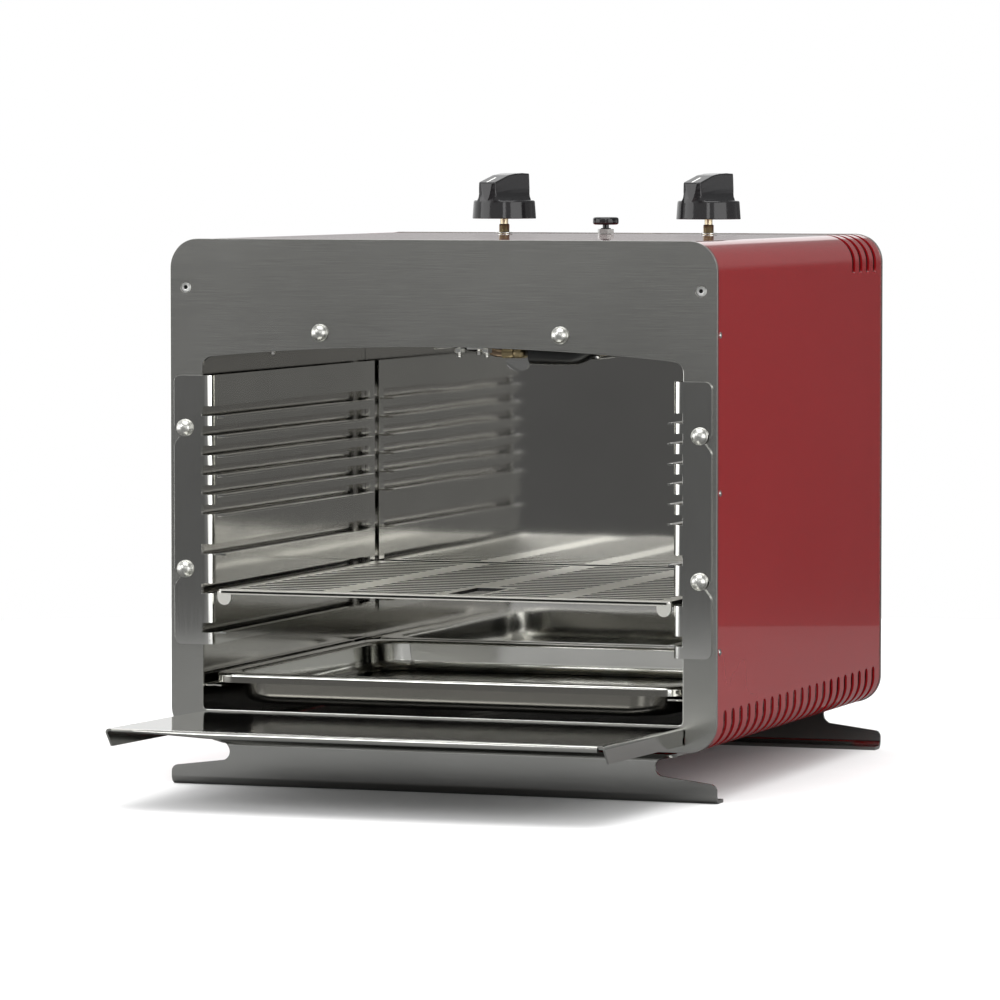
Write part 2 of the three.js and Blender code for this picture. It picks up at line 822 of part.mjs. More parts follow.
// Rail cages: a wall with folded ledges, bent outward over the front plate and slotted for its nuts
function hook_slot(z) {
  const radius = shank_radius + shank_clearance;
  const outer = cage_flange_outer;
  const fillet = new THREE.QuadraticBezierCurve(
    point(outer - hook_fillet, z - hook_drop + 2 * hook_fillet),
    point(outer, z - hook_drop + hook_fillet),
    point(outer, z - hook_drop),
  ).getPoints(small_corner_steps);
  const outline = [
    point(outer + overrun, z),
    ...arc(side_nut_x, z, radius, 60, 300, corner_steps),
    ...fillet,
    point(outer + overrun, z - hook_drop),
  ];
  return along_y(new THREE.Shape(outline), -overrun, panel_thickness);
}

function cage_face() {
  const inner = cage_wall_inside - rail_width;
  const radius = cage_corner_radius;
  const outline = [
    point(inner, cage_bottom),
    ...arc(cage_flange_outer - radius, cage_bottom + radius, radius, -90, 0, small_corner_steps),
    ...arc(cage_flange_outer - radius, cage_top - radius, radius, 0, 90, small_corner_steps),
    point(inner, cage_top),
  ];
  return along_y(new THREE.Shape(outline), -overrun, cage_depth + overrun);
}

function rail_height(step) {
  return rail_top - rail_pitch * step;
}

function make_cage_geometry() {
  const strip = bent_strip([point(cage_flange_outer, flange_middle), point(wall_middle, flange_middle),
    point(wall_middle, cage_depth)], cage_bend_radius, cage_thickness);
  const blank = common(along_z(strip, cage_bottom, cage_top), cage_face());
  const windows = fitting_rails.map((step) => {
    const z = rail_height(step);
    const opening = plate(box(cage_wall_inside - overrun, -overrun, rail_window_outer, rail_window_back));
    return along_z(opening, z, z + rail_window_height);
  });
  const slots = side_nut_heights.map(hook_slot);
  const open = cut(blank, ...windows, ...slots);
  const ledges = fitting_rails.map((step) => {
    const inner = cage_wall_inside - rail_width;
    const ledge = plate(box(inner, rail_start, cage_wall_inside + cage_thickness, rail_end));
    return along_z(ledge, rail_height(step) - cage_thickness, rail_height(step));
  });
  return join(open, ...ledges);
}

function make_cages() {
  const right = make_cage_geometry();
  add('right_rail_cage', right, 'polished');
  add('left_rail_cage', mirrored(right), 'polished');
}

// Cavity liners and pan runners
function make_liners() {
  const low = shell_floor + seat_gap + liner_thickness / 2;
  const high = ceiling_height - liner_thickness / 2;
  const middle = liner_inside + liner_thickness / 2;
  const side = bent_strip([point(middle - liner_foot, low), point(middle, low), point(middle, high),
    point(middle + liner_flange, high)], liner_bend_radius, liner_thickness);
  const hook_end = panel_thickness + shelf_thickness * 2 + seat_gap * 4;
  const hook_room = plate(box(0, 0, hook_end + hook_tail, hook_height + hook_top + hook_play));
  const wall = cut(along_y(side, shell_front, cavity_back + liner_flange), along_x(hook_room, 0, half_width));
  add('right_liner', wall, 'polished');
  add('left_liner', mirrored(wall), 'polished');
  const back_y = cavity_back + liner_thickness / 2;
  const back = bent_strip([point(back_y + liner_flange, low), point(back_y, low), point(back_y, high),
    point(back_y + liner_flange, high)], liner_bend_radius, liner_thickness);
  const end = middle - liner_foot - seat_gap;
  add('back_liner', along_x(back, -end, end), 'polished');
}

function make_runners() {
  const middle_z = runner_height - liner_thickness / 2;
  const leg_x = liner_inside - seat_gap - liner_thickness / 2;
  const strip = bent_strip([point(leg_x, runner_height + runner_leg), point(leg_x, middle_z),
    point(runner_inner, middle_z)], liner_bend_radius, liner_thickness);
  const runner = along_y(strip, runner_front, cavity_back - seat_gap);
  add('right_pan_runner', runner, 'polished');
  add('left_pan_runner', mirrored(runner), 'polished');
}

// Dome nuts and countersunk screws of the front plate
function make_dome_nut(name, x, z, seat_y) {
  const end = seat_y - panel_thickness - shank_behind;
  const dome = arc(0, 0, 1, 90, 0, dome_steps).map((p) => [dome_radius * p.y, dome_rim + dome_height * p.x]);
  const profile = [[0, end], [shank_radius, end], [shank_radius, 0], [dome_radius, 0], ...dome];
  add(name, turned_along_y(profile).translate(x, seat_y, z), 'steel');
}

function make_dome_nuts() {
  const on_cage = -seat_gap * 2 - cage_thickness;
  const names = ['upper', 'lower'];
  for (const [side, word] of [[-1, 'left'], [1, 'right']]) {
    side_nut_heights.forEach((z, i) => {
      make_dome_nut(`dome_nut_${word}_${names[i]}`, side * side_nut_x, z, on_cage);
    });
    make_dome_nut(`dome_nut_top_${word}`, side * top_nut_x, top_nut_height, -seat_gap);
  }
}

function make_panel_screw(name, x) {
  const profile = [[0, 0], [screw_head_radius, 0], [screw_shank_radius, -screw_head_depth],
    [screw_shank_radius, -panel_thickness - screw_behind], [0, -panel_thickness - screw_behind]];
  const socket = along_y(plate(circle(0, 0, screw_socket_radius, 6)), -overrun, screw_socket_depth);
  const screw = cut(turned_along_y(profile), socket);
  add(name, screw.translate(x, 0, screw_height), 'steel');
}

// Grate: a slotted sheet with a hand hole and two tabs that stop it against the rails
function grate_slots() {
  const cell = (2 * grate_half_width - 2 * grate_edge - (grate_column_count - 1) * grate_rib)
    / grate_column_count;
  const grip_hole_right = grip_hole_x + grip_hole_width / 2 + grip_hole_margin;
  const grip_hole_back = grate_front + grip_hole_front + grip_hole_depth + grip_hole_margin;
  const slots = [];
  range(grate_row_count).forEach((row) => {
    const y = grate_front + grate_first_slot + grate_slot_pitch * row - grate_slot_width / 2;
    range(grate_column_count).forEach((column) => {
      const x = -grate_half_width + grate_edge + column * (cell + grate_rib);
      const beside_hole = x > 0 && x < grip_hole_right && y < grip_hole_back;
      const start = beside_hole ? grip_hole_right : x;
      slots.push(box(start, y, x + cell, y + grate_slot_width));
    });
  });
  return slots;
}

function make_grate() {
  const front = grate_front;
  const back = grate_front + grate_depth;
  const outline = rounded_box(-grate_half_width, front, grate_half_width, back, grate_corner_radius);
  const hole_y = front + grip_hole_front;
  const [hole_left, hole_right] = [grip_hole_x - grip_hole_width / 2, grip_hole_x + grip_hole_width / 2];
  const hand_hole = rounded_box(hole_left, hole_y, hole_right, hole_y + grip_hole_depth, grip_hole_margin, 1);
  const sheet = along_z(plate(outline), grate_base, grate_base + grate_thickness);
  const holes = grouped([...grate_slots(), hand_hole].map((hole) => along_z(plate(hole),
    grate_base - overrun, grate_base + grate_thickness + overrun)));
  const lip_end = grate_half_width - grate_corner_radius;
  const lip = along_x(plate(box(front, grate_base + grate_thickness - grate_lip, front + grate_thickness,
    grate_base + grate_thickness)), -lip_end, lip_end);
  const tabs = [-1, 1].map((side) => {
    const outer = side * grate_half_width;
    const [x0, x1] = [outer, outer - side * grate_tab_width].sort((a, b) => a - b);
    const face = tongue(x0, x1, grate_base - grate_tab_drop, grate_base + grate_thickness / 2,
      grate_tab_width / 3);
    return along_y(plate(face), front + seat_gap, front + seat_gap + grate_thickness);
  });
  add('grate', join(cut(sheet, holes), lip, ...tabs), 'steel');
}

// Drip pan: a pressed tray with a rolled rim
function make_drip_pan() {
  const outline = (inset) => rounded_box(-pan_half_width + inset, pan_front + inset, pan_half_width - inset,
    pan_front + pan_depth - inset, Math.max(pan_corner_radius - inset / 2, pan_floor_radius), pan_steps);
  const top = pan_rim_top;
  const floor = top - pan_fall;
  const rim = pan_rim_width;
  const low = rim + pan_wall_slope;
  const rings = [
    [low + pan_floor_radius, floor + pan_wall], [low, floor + pan_floor_radius],
    [rim, top - pan_rim_roll], [rim - pan_rim_roll, top],
    [pan_rim_roll, top], [0, top - pan_rim_roll], [0, top - pan_rim_height], [pan_wall, top - pan_rim_height],
    [pan_wall, top - pan_rim_roll - pan_wall / 2], [pan_rim_roll + pan_wall / 2, top - pan_wall],
    [rim - pan_rim_roll - pan_wall / 2, top - pan_wall], [rim - pan_wall, top - pan_rim_roll - pan_wall / 2],
    [low - pan_wall, floor + pan_floor_radius], [low + pan_floor_radius - pan_wall, floor],
  ];
  add('drip_pan', lofted(rings.map(([inset, z]) => ring_at(outline(inset), z))), 'polished');
}

// Front shelf: a plate with side flanges, a rolled front edge and two hooks behind the front plate
function shelf_hook(side) {
  const z = hook_height - shelf_rear_height;
  const behind = panel_thickness + seat_gap * 2;
  const outline = [
    point(-overrun, z), point(behind, z), point(behind, z - hook_tail),
    point(behind + shelf_thickness * 2, z - hook_tail), point(behind + shelf_thickness * 2, z + hook_top),
    point(-overrun, z + hook_top),
  ];
  const [x0, x1] = side > 0 ? [shelf_half_width - shelf_thickness, shelf_half_width]
    : [-shelf_half_width, shelf_thickness - shelf_half_width];
  return along_x(new THREE.Shape(outline), x0, x1);
}

function make_front_shelf() {
  const middle_x = shelf_half_width - shelf_thickness / 2;
  const middle_z = -shelf_thickness / 2;
  const section = bent_strip([point(-middle_x, -shelf_flange), point(-middle_x, middle_z),
    point(middle_x, middle_z), point(middle_x, -shelf_flange)], shelf_bend_radius, shelf_thickness);
  const blank = along_y(section, -shelf_reach, -seat_gap);
  const lean = along_x(new THREE.Shape([
    point(-shelf_reach - overrun, -shelf_thickness * 2), point(-shelf_reach, -shelf_thickness * 2),
    point(-shelf_reach + shelf_lean, -shelf_flange - overrun), point(-shelf_reach - overrun, -shelf_flange
    - overrun),
  ]), -half_width, half_width);
  const hem_end = middle_x - shelf_bend_radius * 2;
  const hem = turned_along_x([[0, -hem_end], [shelf_hem_radius, -hem_end], [shelf_hem_radius, hem_end],
    [0, hem_end]], small_round_steps);
  hem.translate(0, -shelf_reach + shelf_hem_radius, -shelf_hem_radius);
  const shelf = join(cut(blank, lean), hem, shelf_hook(-1), shelf_hook(1));
  shelf.rotateX(THREE.MathUtils.degToRad(-shelf_tilt)).translate(0, 0, shelf_rear_height);
  add('front_shelf', shelf, 'polished');
}

// Gas taps: brass body under the top, collar through it, and a bore for the spindle
function make_tap(name, x, side) {
  const [body_top, body_low] = [tap_body_top, tap_body_low];
  const neck_top = shell_ceiling - seat_gap;
  const collar_top = shell_top + tap_collar_height;
  const boss_low = manifold_height + manifold_radius + seat_gap;
  const profile = [[0, boss_low], [tap_boss_radius, boss_low], [tap_boss_radius, body_low],
    [tap_body_radius, body_low], [tap_body_radius, body_top], [tap_neck_radius, body_top],
    [tap_neck_radius, neck_top], [tap_collar_radius, neck_top],
    [tap_collar_radius, collar_top - tap_chamfer], [tap_collar_radius - tap_chamfer, collar_top],
    [0, collar_top]];
  const bore_floor = spindle_low - seat_gap - push_pin_length - push_travel;
  const way_down = bore(spindle_radius + spindle_clearance, bore_floor, collar_top + overrun);
  const port = turned_along_y([[0, 0], [tap_boss_radius, 0], [tap_boss_radius, tap_body_radius
    + tap_boss_length], [0, tap_body_radius + tap_boss_length]]);
  port.translate(0, 0, body_top - tap_port_drop);
  const way = turned_along_y([[0, 0], [tap_port_bore, 0], [tap_port_bore, tap_body_radius + tap_boss_length
    + overrun], [0, tap_body_radius + tap_boss_length + overrun]], small_round_steps);
  way.translate(0, 0, body_top - tap_port_drop);
  add(name, cut(join(turned(profile), port), way_down, way).translate(x, tap_y, 0), 'brass');
  const washer = plate(circle(x, tap_y, ring_radius, round_steps),
    [round_hole(x, tap_y, tap_collar_radius + seat_gap, round_steps)]);
  add(`${side}_shaft_ring`, along_z(washer, top_seat, top_seat + ring_height), 'steel');
}

function make_spindle(side, x) {
  add(`${side}_spindle`, disc(spindle_radius, spindle_low, knob_base + spindle_in_knob)
    .translate(x, tap_y, 0), 'brass');
  const pin_top = spindle_low - seat_gap;
  add(`${side}_push_pin`, disc(push_pin_radius, pin_top - push_pin_length, pin_top,
    small_round_steps).translate(x, tap_y, 0), 'steel');
}

// Knob: a hollow tapered skirt under a tall grip whose crest climbs away from the pointer end
function knob_grip() {
  const base = knob_skirt_height - knob_wall;
  const radius = knob_top_radius;
  const crest_shares = [[-1, 0.793], [-0.62, 0.86], [-0.2, 0.945], [0.2, 0.985], [0.6, 1], [1, 0.99]];
  const crest = crest_shares.map(([along, up]) => point(along * radius, up * knob_height));
  const side_view = [point(-radius, base), ...crest, point(radius, base)];
  const slab = along_x(new THREE.Shape(side_view), -radius, radius);
  const end_view = new THREE.Shape([point(-knob_grip_half_width, base), point(knob_grip_half_width, base),
    point(knob_grip_top_half_width, knob_height), point(-knob_grip_top_half_width, knob_height)]);
  const width = along_y(end_view, -radius, radius);
  return common(common(slab, width), disc(radius, 0, knob_height, knob_steps));
}

function make_knob(name, x) {
  const inner_base = knob_base_radius - knob_wall;
  const inner_top = knob_top_radius - knob_wall;
  const roof = knob_skirt_height - knob_wall;
  const skirt = turned([[knob_hub_radius, 0], [knob_hub_radius, roof], [inner_top, roof], [inner_base, 0],
    [knob_base_radius, 0], [knob_top_radius, knob_skirt_height], [0, knob_skirt_height], [0, 0],
    [knob_hub_radius, 0]], knob_steps);
  const socket = bore(spindle_radius + seat_gap, -overrun, spindle_in_knob + seat_gap);
  const knob = cut(join(skirt, knob_grip()), socket);
  knob.rotateZ(THREE.MathUtils.degToRad(knob_rest_angle)).translate(x, tap_y, knob_base);
  add(name, knob, 'black');
}

// Igniter: body hung under the top, hex nut above it, and the capped button
function make_igniter() {
  const shoulder = shell_ceiling - seat_gap;
  const neck_top = top_seat + igniter_neck_lift;
  const low = shoulder - igniter_body_height;
  const profile = [[0, low], [igniter_body_radius, low], [igniter_body_radius, shoulder],
    [igniter_neck_radius, shoulder], [igniter_neck_radius, neck_top], [0, neck_top]];
  const stem_low = top_seat - igniter_stem_below;
  const guide = bore(igniter_stem_radius + spindle_clearance, stem_low - igniter_travel, neck_top + overrun);
  add('igniter_body', cut(turned(profile), guide).translate(0, tap_y, 0), 'black');
  const hex_radius = igniter_nut_flats / Math.cos(Math.PI / 6);
  const nut = plate(circle(0, tap_y, hex_radius, 6),
    [round_hole(0, tap_y, igniter_neck_radius + seat_gap, round_steps)]);
  add('igniter_nut', along_z(nut, top_seat, top_seat + igniter_nut_height), 'steel');
  const cap_low = top_seat + igniter_cap_lift;
  const cap_top = cap_low + igniter_cap_height;
  const edge = igniter_cap_height / 4;
  const button = turned([[0, stem_low], [igniter_stem_radius, stem_low],
    [igniter_stem_radius, cap_low], [igniter_cap_radius - edge, cap_low],
    [igniter_cap_radius, cap_low + edge], [igniter_cap_radius, cap_top - edge],
    [igniter_cap_radius - edge, cap_top], [0, cap_top]], knob_steps);
  add('igniter_button', button.translate(0, tap_y, 0), 'black');
}

// Burners: a ceiling sheet with windows, and two ceramic burners turned end for end
function front_bay() {
  return box(mixer_mouth_x - bay_margin, mixer_front - mixer_bend_radius, mixer_bend_x + mixer_bend_radius,
    burner_front - bay_edge);
}

function turned_outline(outline) {
  return outline.map((p) => point(-p.x, 2 * burner_middle_y - p.y));
}

function frame_holes() {
  const right = [
    front_bay(),
    round_hole(pipe_x, mixer_front, pipe_radius + seat_gap),
    round_hole(probe_x, probe_y, probe_radius + seat_gap, screw_steps),
    round_hole(electrode_x, probe_y, electrode_radius + seat_gap),
  ];
  return [...right, ...right.map(turned_outline)];
}

// Studs welded to the frame: eight rise through the burners' flanges, the others hang below it
function frame_studs() {
  const middle = ceiling_height + seat_gap + frame_thickness / 2;
  const rising = burner_stud_places().map(([x, y]) => disc(stud_radius, middle, ceiling_height
    + stud_rise, rivet_steps).translate(x, y, 0));
  const hanging = (x, y) => disc(stud_radius, ceiling_height - stud_drop, middle, rivet_steps)
    .translate(x, y, 0);
  const right = bracket_stud_xs.map((x) => hanging(x, bracket_stud_y));
  return [...rising, ...right, ...right.map(turned_round), hanging(...spare_stud)];
}

function make_burner_frame() {
  const low = ceiling_height + seat_gap;
  const inset = burner_flange * 2 + plaque_lip;
  const reach = burner_half_width - inset;
  const windows = [-1, 1].map((side) => rounded_box(side * burner_x - reach, burner_front + inset,
    side * burner_x + reach, burner_back - inset, burner_corner_radius / 2));
  const outline = box(-frame_half_width, frame_front, frame_half_width, frame_back);
  const sheet = along_z(plate(outline, [...windows, ...frame_holes()]), low, low + frame_thickness);
  add('burner_frame', join(sheet, ...frame_studs()), 'polished');
}

function burner_stud_places() {
  const rows = [burner_front + stud_inset, burner_back - stud_inset];
  const reach = burner_half_width - stud_inset - burner_corner_radius;
  const places = [];
  for (const side of [-1, 1]) {
    rows.forEach((y) => [-1, 1].forEach((end) => places.push([side * burner_x + end * reach, y])));
  }
  return places;
}

function make_burner_box() {
  const seat = ceiling_height + frame_thickness + seat_gap * 2;
  const outline = (inset) => rounded_box(burner_x - burner_half_width + inset, burner_front + inset,
    burner_x + burner_half_width - inset, burner_back - inset, burner_corner_radius);
  const step = burner_step;
  const top = seat + burner_height;
  const rings = [
    [step + burner_wall, top - burner_wall], [step + burner_wall, seat], [0, seat],
    [0, seat + burner_wall], [step, seat + burner_wall], [step, top],
  ];
  const right_places = burner_stud_places().filter(([x]) => x > 0);
  const holes = right_places.map(([x, y]) => bore(stud_radius + seat_gap, seat - overrun,
    seat + overrun, screw_steps).translate(x, y, 0));
  const feed = along_y(plate(circle(mixer_bend_x, mixer_end_height, mixer_radius - mixer_wall, round_steps)),
    burner_front, burner_front + burner_step + overrun);
  return cut(lofted(rings.map(([inset, z]) => ring_at(outline(inset), z))), feed, ...holes);
}

function make_plaque() {
  const low = ceiling_height + frame_thickness + seat_gap * 2;
  const inset = burner_flange * 2 + plaque_clearance;
  const [x0, x1] = [burner_x - burner_half_width + inset, burner_x + burner_half_width - inset];
  const [y0, y1] = [burner_front + inset, burner_back - inset];
  const tile = along_z(plate(rounded_box(x0, y0, x1, y1, burner_corner_radius)), low,
    low + plaque_thickness);
  const half = plaque_groove / 2;
  const depth = low + plaque_groove;
  const lengthwise = along_z(plate(box(burner_x - half, y0 - overrun, burner_x + half, y1 + overrun)),
    low - overrun, depth);
  const across = along_z(plate(box(x0 - overrun, burner_middle_y - half, x1 + overrun, burner_middle_y + half)),
    low - overrun, depth);
  return cut(tile, lengthwise, across);
}

function make_mixing_tube() {
  const high = mixer_end_height;
  const end = burner_front + burner_step - seat_gap;
  const route = (out) => [[mixer_mouth_x - out, mixer_front, mixer_height],
    [mixer_climb_x, mixer_front, mixer_height], [mixer_bend_x, mixer_front, high],
    [mixer_bend_x, end + out, high]];
  const outside = swept(route(0), mixer_radius, mixer_bend_radius, round_steps);
  const inside = swept(route(overrun), mixer_radius - mixer_wall, mixer_bend_radius, round_steps);
  return cut(outside, inside);
}

function make_jet() {
  const body_end = jet_body_length;
  const nozzle_end = body_end + jet_nozzle_length;
  const profile = [[0, 0], [jet_radius, 0], [jet_radius, body_end], [jet_tip_radius, body_end],
    [jet_tip_radius, body_end + jet_tip_length / 3], [jet_radius, body_end + jet_tip_length / 3],
    [jet_radius, nozzle_end - jet_tip_length], [jet_tip_radius, nozzle_end], [0, nozzle_end]];
  return turned_along_x(profile).translate(jet_start, mixer_front, mixer_height);
}

function make_jet_bracket() {
  const face = mixer_front + jet_radius + seat_gap + bracket_thickness / 2;
  const high = ceiling_height - bracket_thickness / 2;
  const low = ceiling_height - bracket_drop;
  const strip = bent_strip([point(face, low), point(face, high), point(bracket_back, high)],
    bracket_thickness, bracket_thickness);
  const hanging = plate(tongue(bracket_left, bracket_right, low, ceiling_height + overrun,
    (bracket_right - bracket_left) / 3));
  const wing = plate(box(bracket_wing, ceiling_height - bracket_wing_drop, bracket_right,
    ceiling_height + overrun));
  const front = join(along_y(hanging, 0, burner_front), along_y(wing, 0, burner_front));
  const blank = common(along_x(strip, bracket_wing, bracket_right), front);
  const holes = bracket_stud_xs.map((x) => bore(stud_radius + seat_gap, ceiling_height - overrun,
    ceiling_height + overrun, screw_steps).translate(x, bracket_stud_y, 0));
  return cut(blank, ...holes);
}

function make_stud_nuts() {
  const high = ceiling_height - bracket_thickness - seat_gap;
  const names = ['outer', 'inner'];
  bracket_stud_xs.forEach((x, i) => {
    const nut = along_z(plate(circle(x, bracket_stud_y, stud_nut_radius, screw_steps),
      [round_hole(x, bracket_stud_y, stud_radius + seat_gap, rivet_steps)]), high - stud_nut_height, high);
    add(`right_bracket_nut_${names[i]}`, nut, 'steel');
    add(`left_bracket_nut_${names[i]}`, turned_round(nut), 'steel');
  });
}

// Flame probe: a bent rod through the frame whose tip lies below the plaque
function make_thermocouple() {
  const tip_y = burner_front + burner_flange * 2 + probe_reach;
  const route = [[probe_x, probe_y, lead_top], [probe_x, probe_y, probe_low],
    [probe_x + probe_loop, probe_y, probe_low], [probe_x + probe_loop, tip_y, probe_low]];
  return swept(route, probe_radius, 2 * probe_radius, screw_steps);
}

// Spark electrode: a ceramic rod through the frame with a wire that points up at the plaque
function make_electrode() {
  const rod = disc(electrode_radius, electrode_low, lead_top, small_round_steps);
  const wire_low = electrode_low + 2 * electrode_wire_radius;
  const wire = swept([[0, 0, wire_low], [0, electrode_reach + burner_flange, wire_low],
    [0, electrode_reach + burner_flange, electrode_tip]], electrode_wire_radius, 2 * electrode_wire_radius,
  screw_steps);
  return join(rod, wire).translate(electrode_x, probe_y, 0);
}

function make_burners() {
  make_burner_frame();
  make_stud_nuts();
  const pieces = [
    ['burner_box', make_burner_box(), 'steel'], ['burner_plaque', make_plaque(), 'ceramic'],
    ['mixing_tube', make_mixing_tube(), 'steel'], ['jet', make_jet(), 'brass'],
    ['jet_bracket', make_jet_bracket(), 'steel'],
    ['thermocouple', make_thermocouple(), 'steel'], ['electrode', make_electrode(), 'ceramic'],
  ];
  for (const [name, geometry, finish] of pieces) {
    add(`right_${name}`, geometry, finish);
    add(`left_${name}`, turned_round(geometry), finish);
  }
}

// Gas line: a pipe from each tap to its jet, the manifold under the taps and the inlet that feeds it
function tap_port() {
  return [tap_x, tap_y - tap_body_radius - tap_boss_length - seat_gap, tap_body_top - tap_port_drop];
}

function make_gas_pipe(name, side, jet_y) {
  const [port_x, port_y, port_z] = tap_port();
  const route = [
    [jet_start - seat_gap, jet_y, mixer_height], [pipe_x, jet_y, mixer_height], [pipe_x, jet_y, pipe_height],
    [pipe_x, port_y - pipe_turn, pipe_height], [port_x, port_y - pipe_turn, port_z], [port_x, port_y, port_z],
  ].map(([x, y, z]) => [side * x, y, z]);
  add(name, swept(route, pipe_radius, pipe_bend_radius, rivet_steps), 'brass');
}

function make_gas_inlet() {
  const outer_end = body_depth + inlet_reach;
  const inner_end = body_depth - panel_thickness - inlet_inside;
  const stem = along_y(plate(circle(0, 0, inlet_thread_radius, round_steps)), inner_end, outer_end);
  const hex = along_y(plate(circle(0, 0, inlet_hex_radius, screw_steps)), body_depth + seat_gap,
    body_depth + seat_gap + inlet_hex_length);
  const way = along_y(plate(circle(0, 0, inlet_bore_radius)), inner_end - overrun, outer_end + overrun);
  add('gas_inlet', cut(join(stem, hex), way).translate(inlet_x, 0, manifold_height), 'brass');
}

function make_gas_manifold() {
  const inlet_end = body_depth - panel_thickness - inlet_inside - seat_gap;
  const [x0, x1] = [inlet_x - manifold_overhang, tap_x + manifold_overhang];
  const inner = manifold_radius - manifold_wall;
  const bar = (radius, inset) => along_x(plate(circle(0, 0, radius, round_steps)), x0 + inset, x1 - inset);
  const branch = (radius, end) => along_y(plate(circle(inlet_x, 0, radius)), 0, end - tap_y);
  const outside = join(bar(manifold_radius, 0), branch(manifold_radius, inlet_end));
  const inside = join(bar(inner, manifold_wall), branch(inner, inlet_end + overrun));
  const ports = [-1, 1].map((side) => disc(port_bore_radius, 0, manifold_radius + overrun,
    small_round_steps).translate(side * tap_x, 0, 0));
  add('gas_manifold', cut(outside, inside, ...ports).translate(0, tap_y, manifold_height), 'brass');
}

make_front_panel();
make_rear_panel();
make_shell();
make_foot('front_foot', false);
make_foot('rear_foot', true);
make_cages();
make_liners();
make_runners();
make_dome_nuts();
make_panel_screw('left_panel_screw', -screw_x);
make_panel_screw('right_panel_screw', screw_x);
make_grate();
make_drip_pan();
make_front_shelf();
for (const [side, word] of [[-1, 'left'], [1, 'right']]) {
  make_tap(`${word}_tap`, side * tap_x, word);
  make_spindle(word, side * tap_x);
  make_knob(`${word}_knob`, side * tap_x);
}
make_igniter();
make_burners();
make_gas_pipe('right_gas_pipe', 1, mixer_front);
make_gas_pipe('left_gas_pipe', -1, 2 * burner_middle_y - mixer_front);
make_gas_manifold();
make_gas_inlet();

export default grill;
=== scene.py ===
# %% [markdown]
# # A tabletop gas grill with top heat
# The real grill is a box of bent sheet metal. A thick stainless plate closes its front, red powder-coated
# sheet wraps round its sides, and two gas burners hang under the top and heat the food from above.
# This lesson dresses its CAD frame. Almost every part of the grill is a flat blank that was cut first and
# bent afterwards, so the lesson makes its sheets the same way: it draws the flat blank, cuts the holes in
# it, and then lays it along the bends.

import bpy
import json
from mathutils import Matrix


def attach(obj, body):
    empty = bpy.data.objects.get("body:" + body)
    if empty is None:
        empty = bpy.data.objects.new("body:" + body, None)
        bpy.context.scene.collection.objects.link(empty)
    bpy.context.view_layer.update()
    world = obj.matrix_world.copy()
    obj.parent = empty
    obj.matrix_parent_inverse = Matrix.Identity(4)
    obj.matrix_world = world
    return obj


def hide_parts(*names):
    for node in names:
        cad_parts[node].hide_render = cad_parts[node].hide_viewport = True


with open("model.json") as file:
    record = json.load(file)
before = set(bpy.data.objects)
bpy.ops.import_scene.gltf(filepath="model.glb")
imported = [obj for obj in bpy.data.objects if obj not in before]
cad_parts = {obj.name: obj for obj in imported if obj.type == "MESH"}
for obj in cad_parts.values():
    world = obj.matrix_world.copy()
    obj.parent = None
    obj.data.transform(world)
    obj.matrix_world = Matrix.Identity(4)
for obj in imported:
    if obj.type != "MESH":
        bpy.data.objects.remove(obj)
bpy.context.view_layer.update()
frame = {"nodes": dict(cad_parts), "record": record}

import json
import math

import bmesh
import bpy
import numpy as np
from mathutils import Matrix, Vector
from mathutils.geometry import delaunay_2d_cdt

print("nodes:", len(frame["nodes"]))

# %% [markdown]
# ## Where things are
# The grill's own drawing counts in millimetres. There Y is zero on the front face of the front plate, and
# Z is zero on its lower edge. Blender counts in metres, and its floor lies under the feet, 35 mm lower.
# Every piece is drawn in the drawing's numbers and then moved by the same two shifts, so that the numbers
# in this lesson are the ones that a sheet metal shop would use.

# %%
# From the drawing's millimetres to the scene's metres
SHIFT = np.array([0.0, -130.5, 35.0])

def to_scene(points):
    """Adds the two shifts to points in millimetres and divides by a thousand."""
    return (np.asarray(points, float) + SHIFT) / 1000

HOME = Matrix.Translation(Vector(SHIFT) / 1000)
BODY_HALF, BODY_HEIGHT, BODY_DEPTH = 205.0, 356.0, 413.0
PLATE = 3.0
print("front lower left corner in the scene:", to_scene([-BODY_HALF, 0, 0]))

# %% [markdown]
# ## Making meshes
# A few short tools make every piece. Each takes whole arrays of points, works out a surface and hands it
# to Blender at once. The last step of each piece lets the modifiers act: Solidify gives a sheet its
# thickness, Bevel breaks its edges as a file would, and Weighted Normal keeps the flats flat in the light.

# %%
# Objects, finished pieces and smooth edges
MERGE_GAP = 0.00001
SHADE_BREAK = 20

def placed(name, data):
    """Puts a mesh, a camera or a lamp into the scene as an object."""
    made = bpy.data.objects.new(name, data)
    bpy.context.scene.collection.objects.link(made)
    return made

def new_object(name, vertices, faces):
    """Makes one mesh object from points in scene metres."""
    mesh = bpy.data.meshes.new(name)
    points = [tuple(v) for v in np.asarray(vertices, float)]
    mesh.from_pydata(points, [], [tuple(map(int, f)) for f in faces])
    mesh.update()
    return placed(name, mesh)

def clean(piece):
    """Merges close points, drops points that no face uses and turns all faces outwards."""
    work = bmesh.new()
    work.from_mesh(piece.data)
    bmesh.ops.remove_doubles(work, verts=work.verts, dist=MERGE_GAP)
    bmesh.ops.dissolve_degenerate(work, edges=work.edges, dist=MERGE_GAP / 10)
    bmesh.ops.delete(work, geom=[v for v in work.verts if not v.link_faces], context="VERTS")
    bmesh.ops.recalc_face_normals(work, faces=work.faces)
    work.to_mesh(piece.data)
    work.free()
    return piece

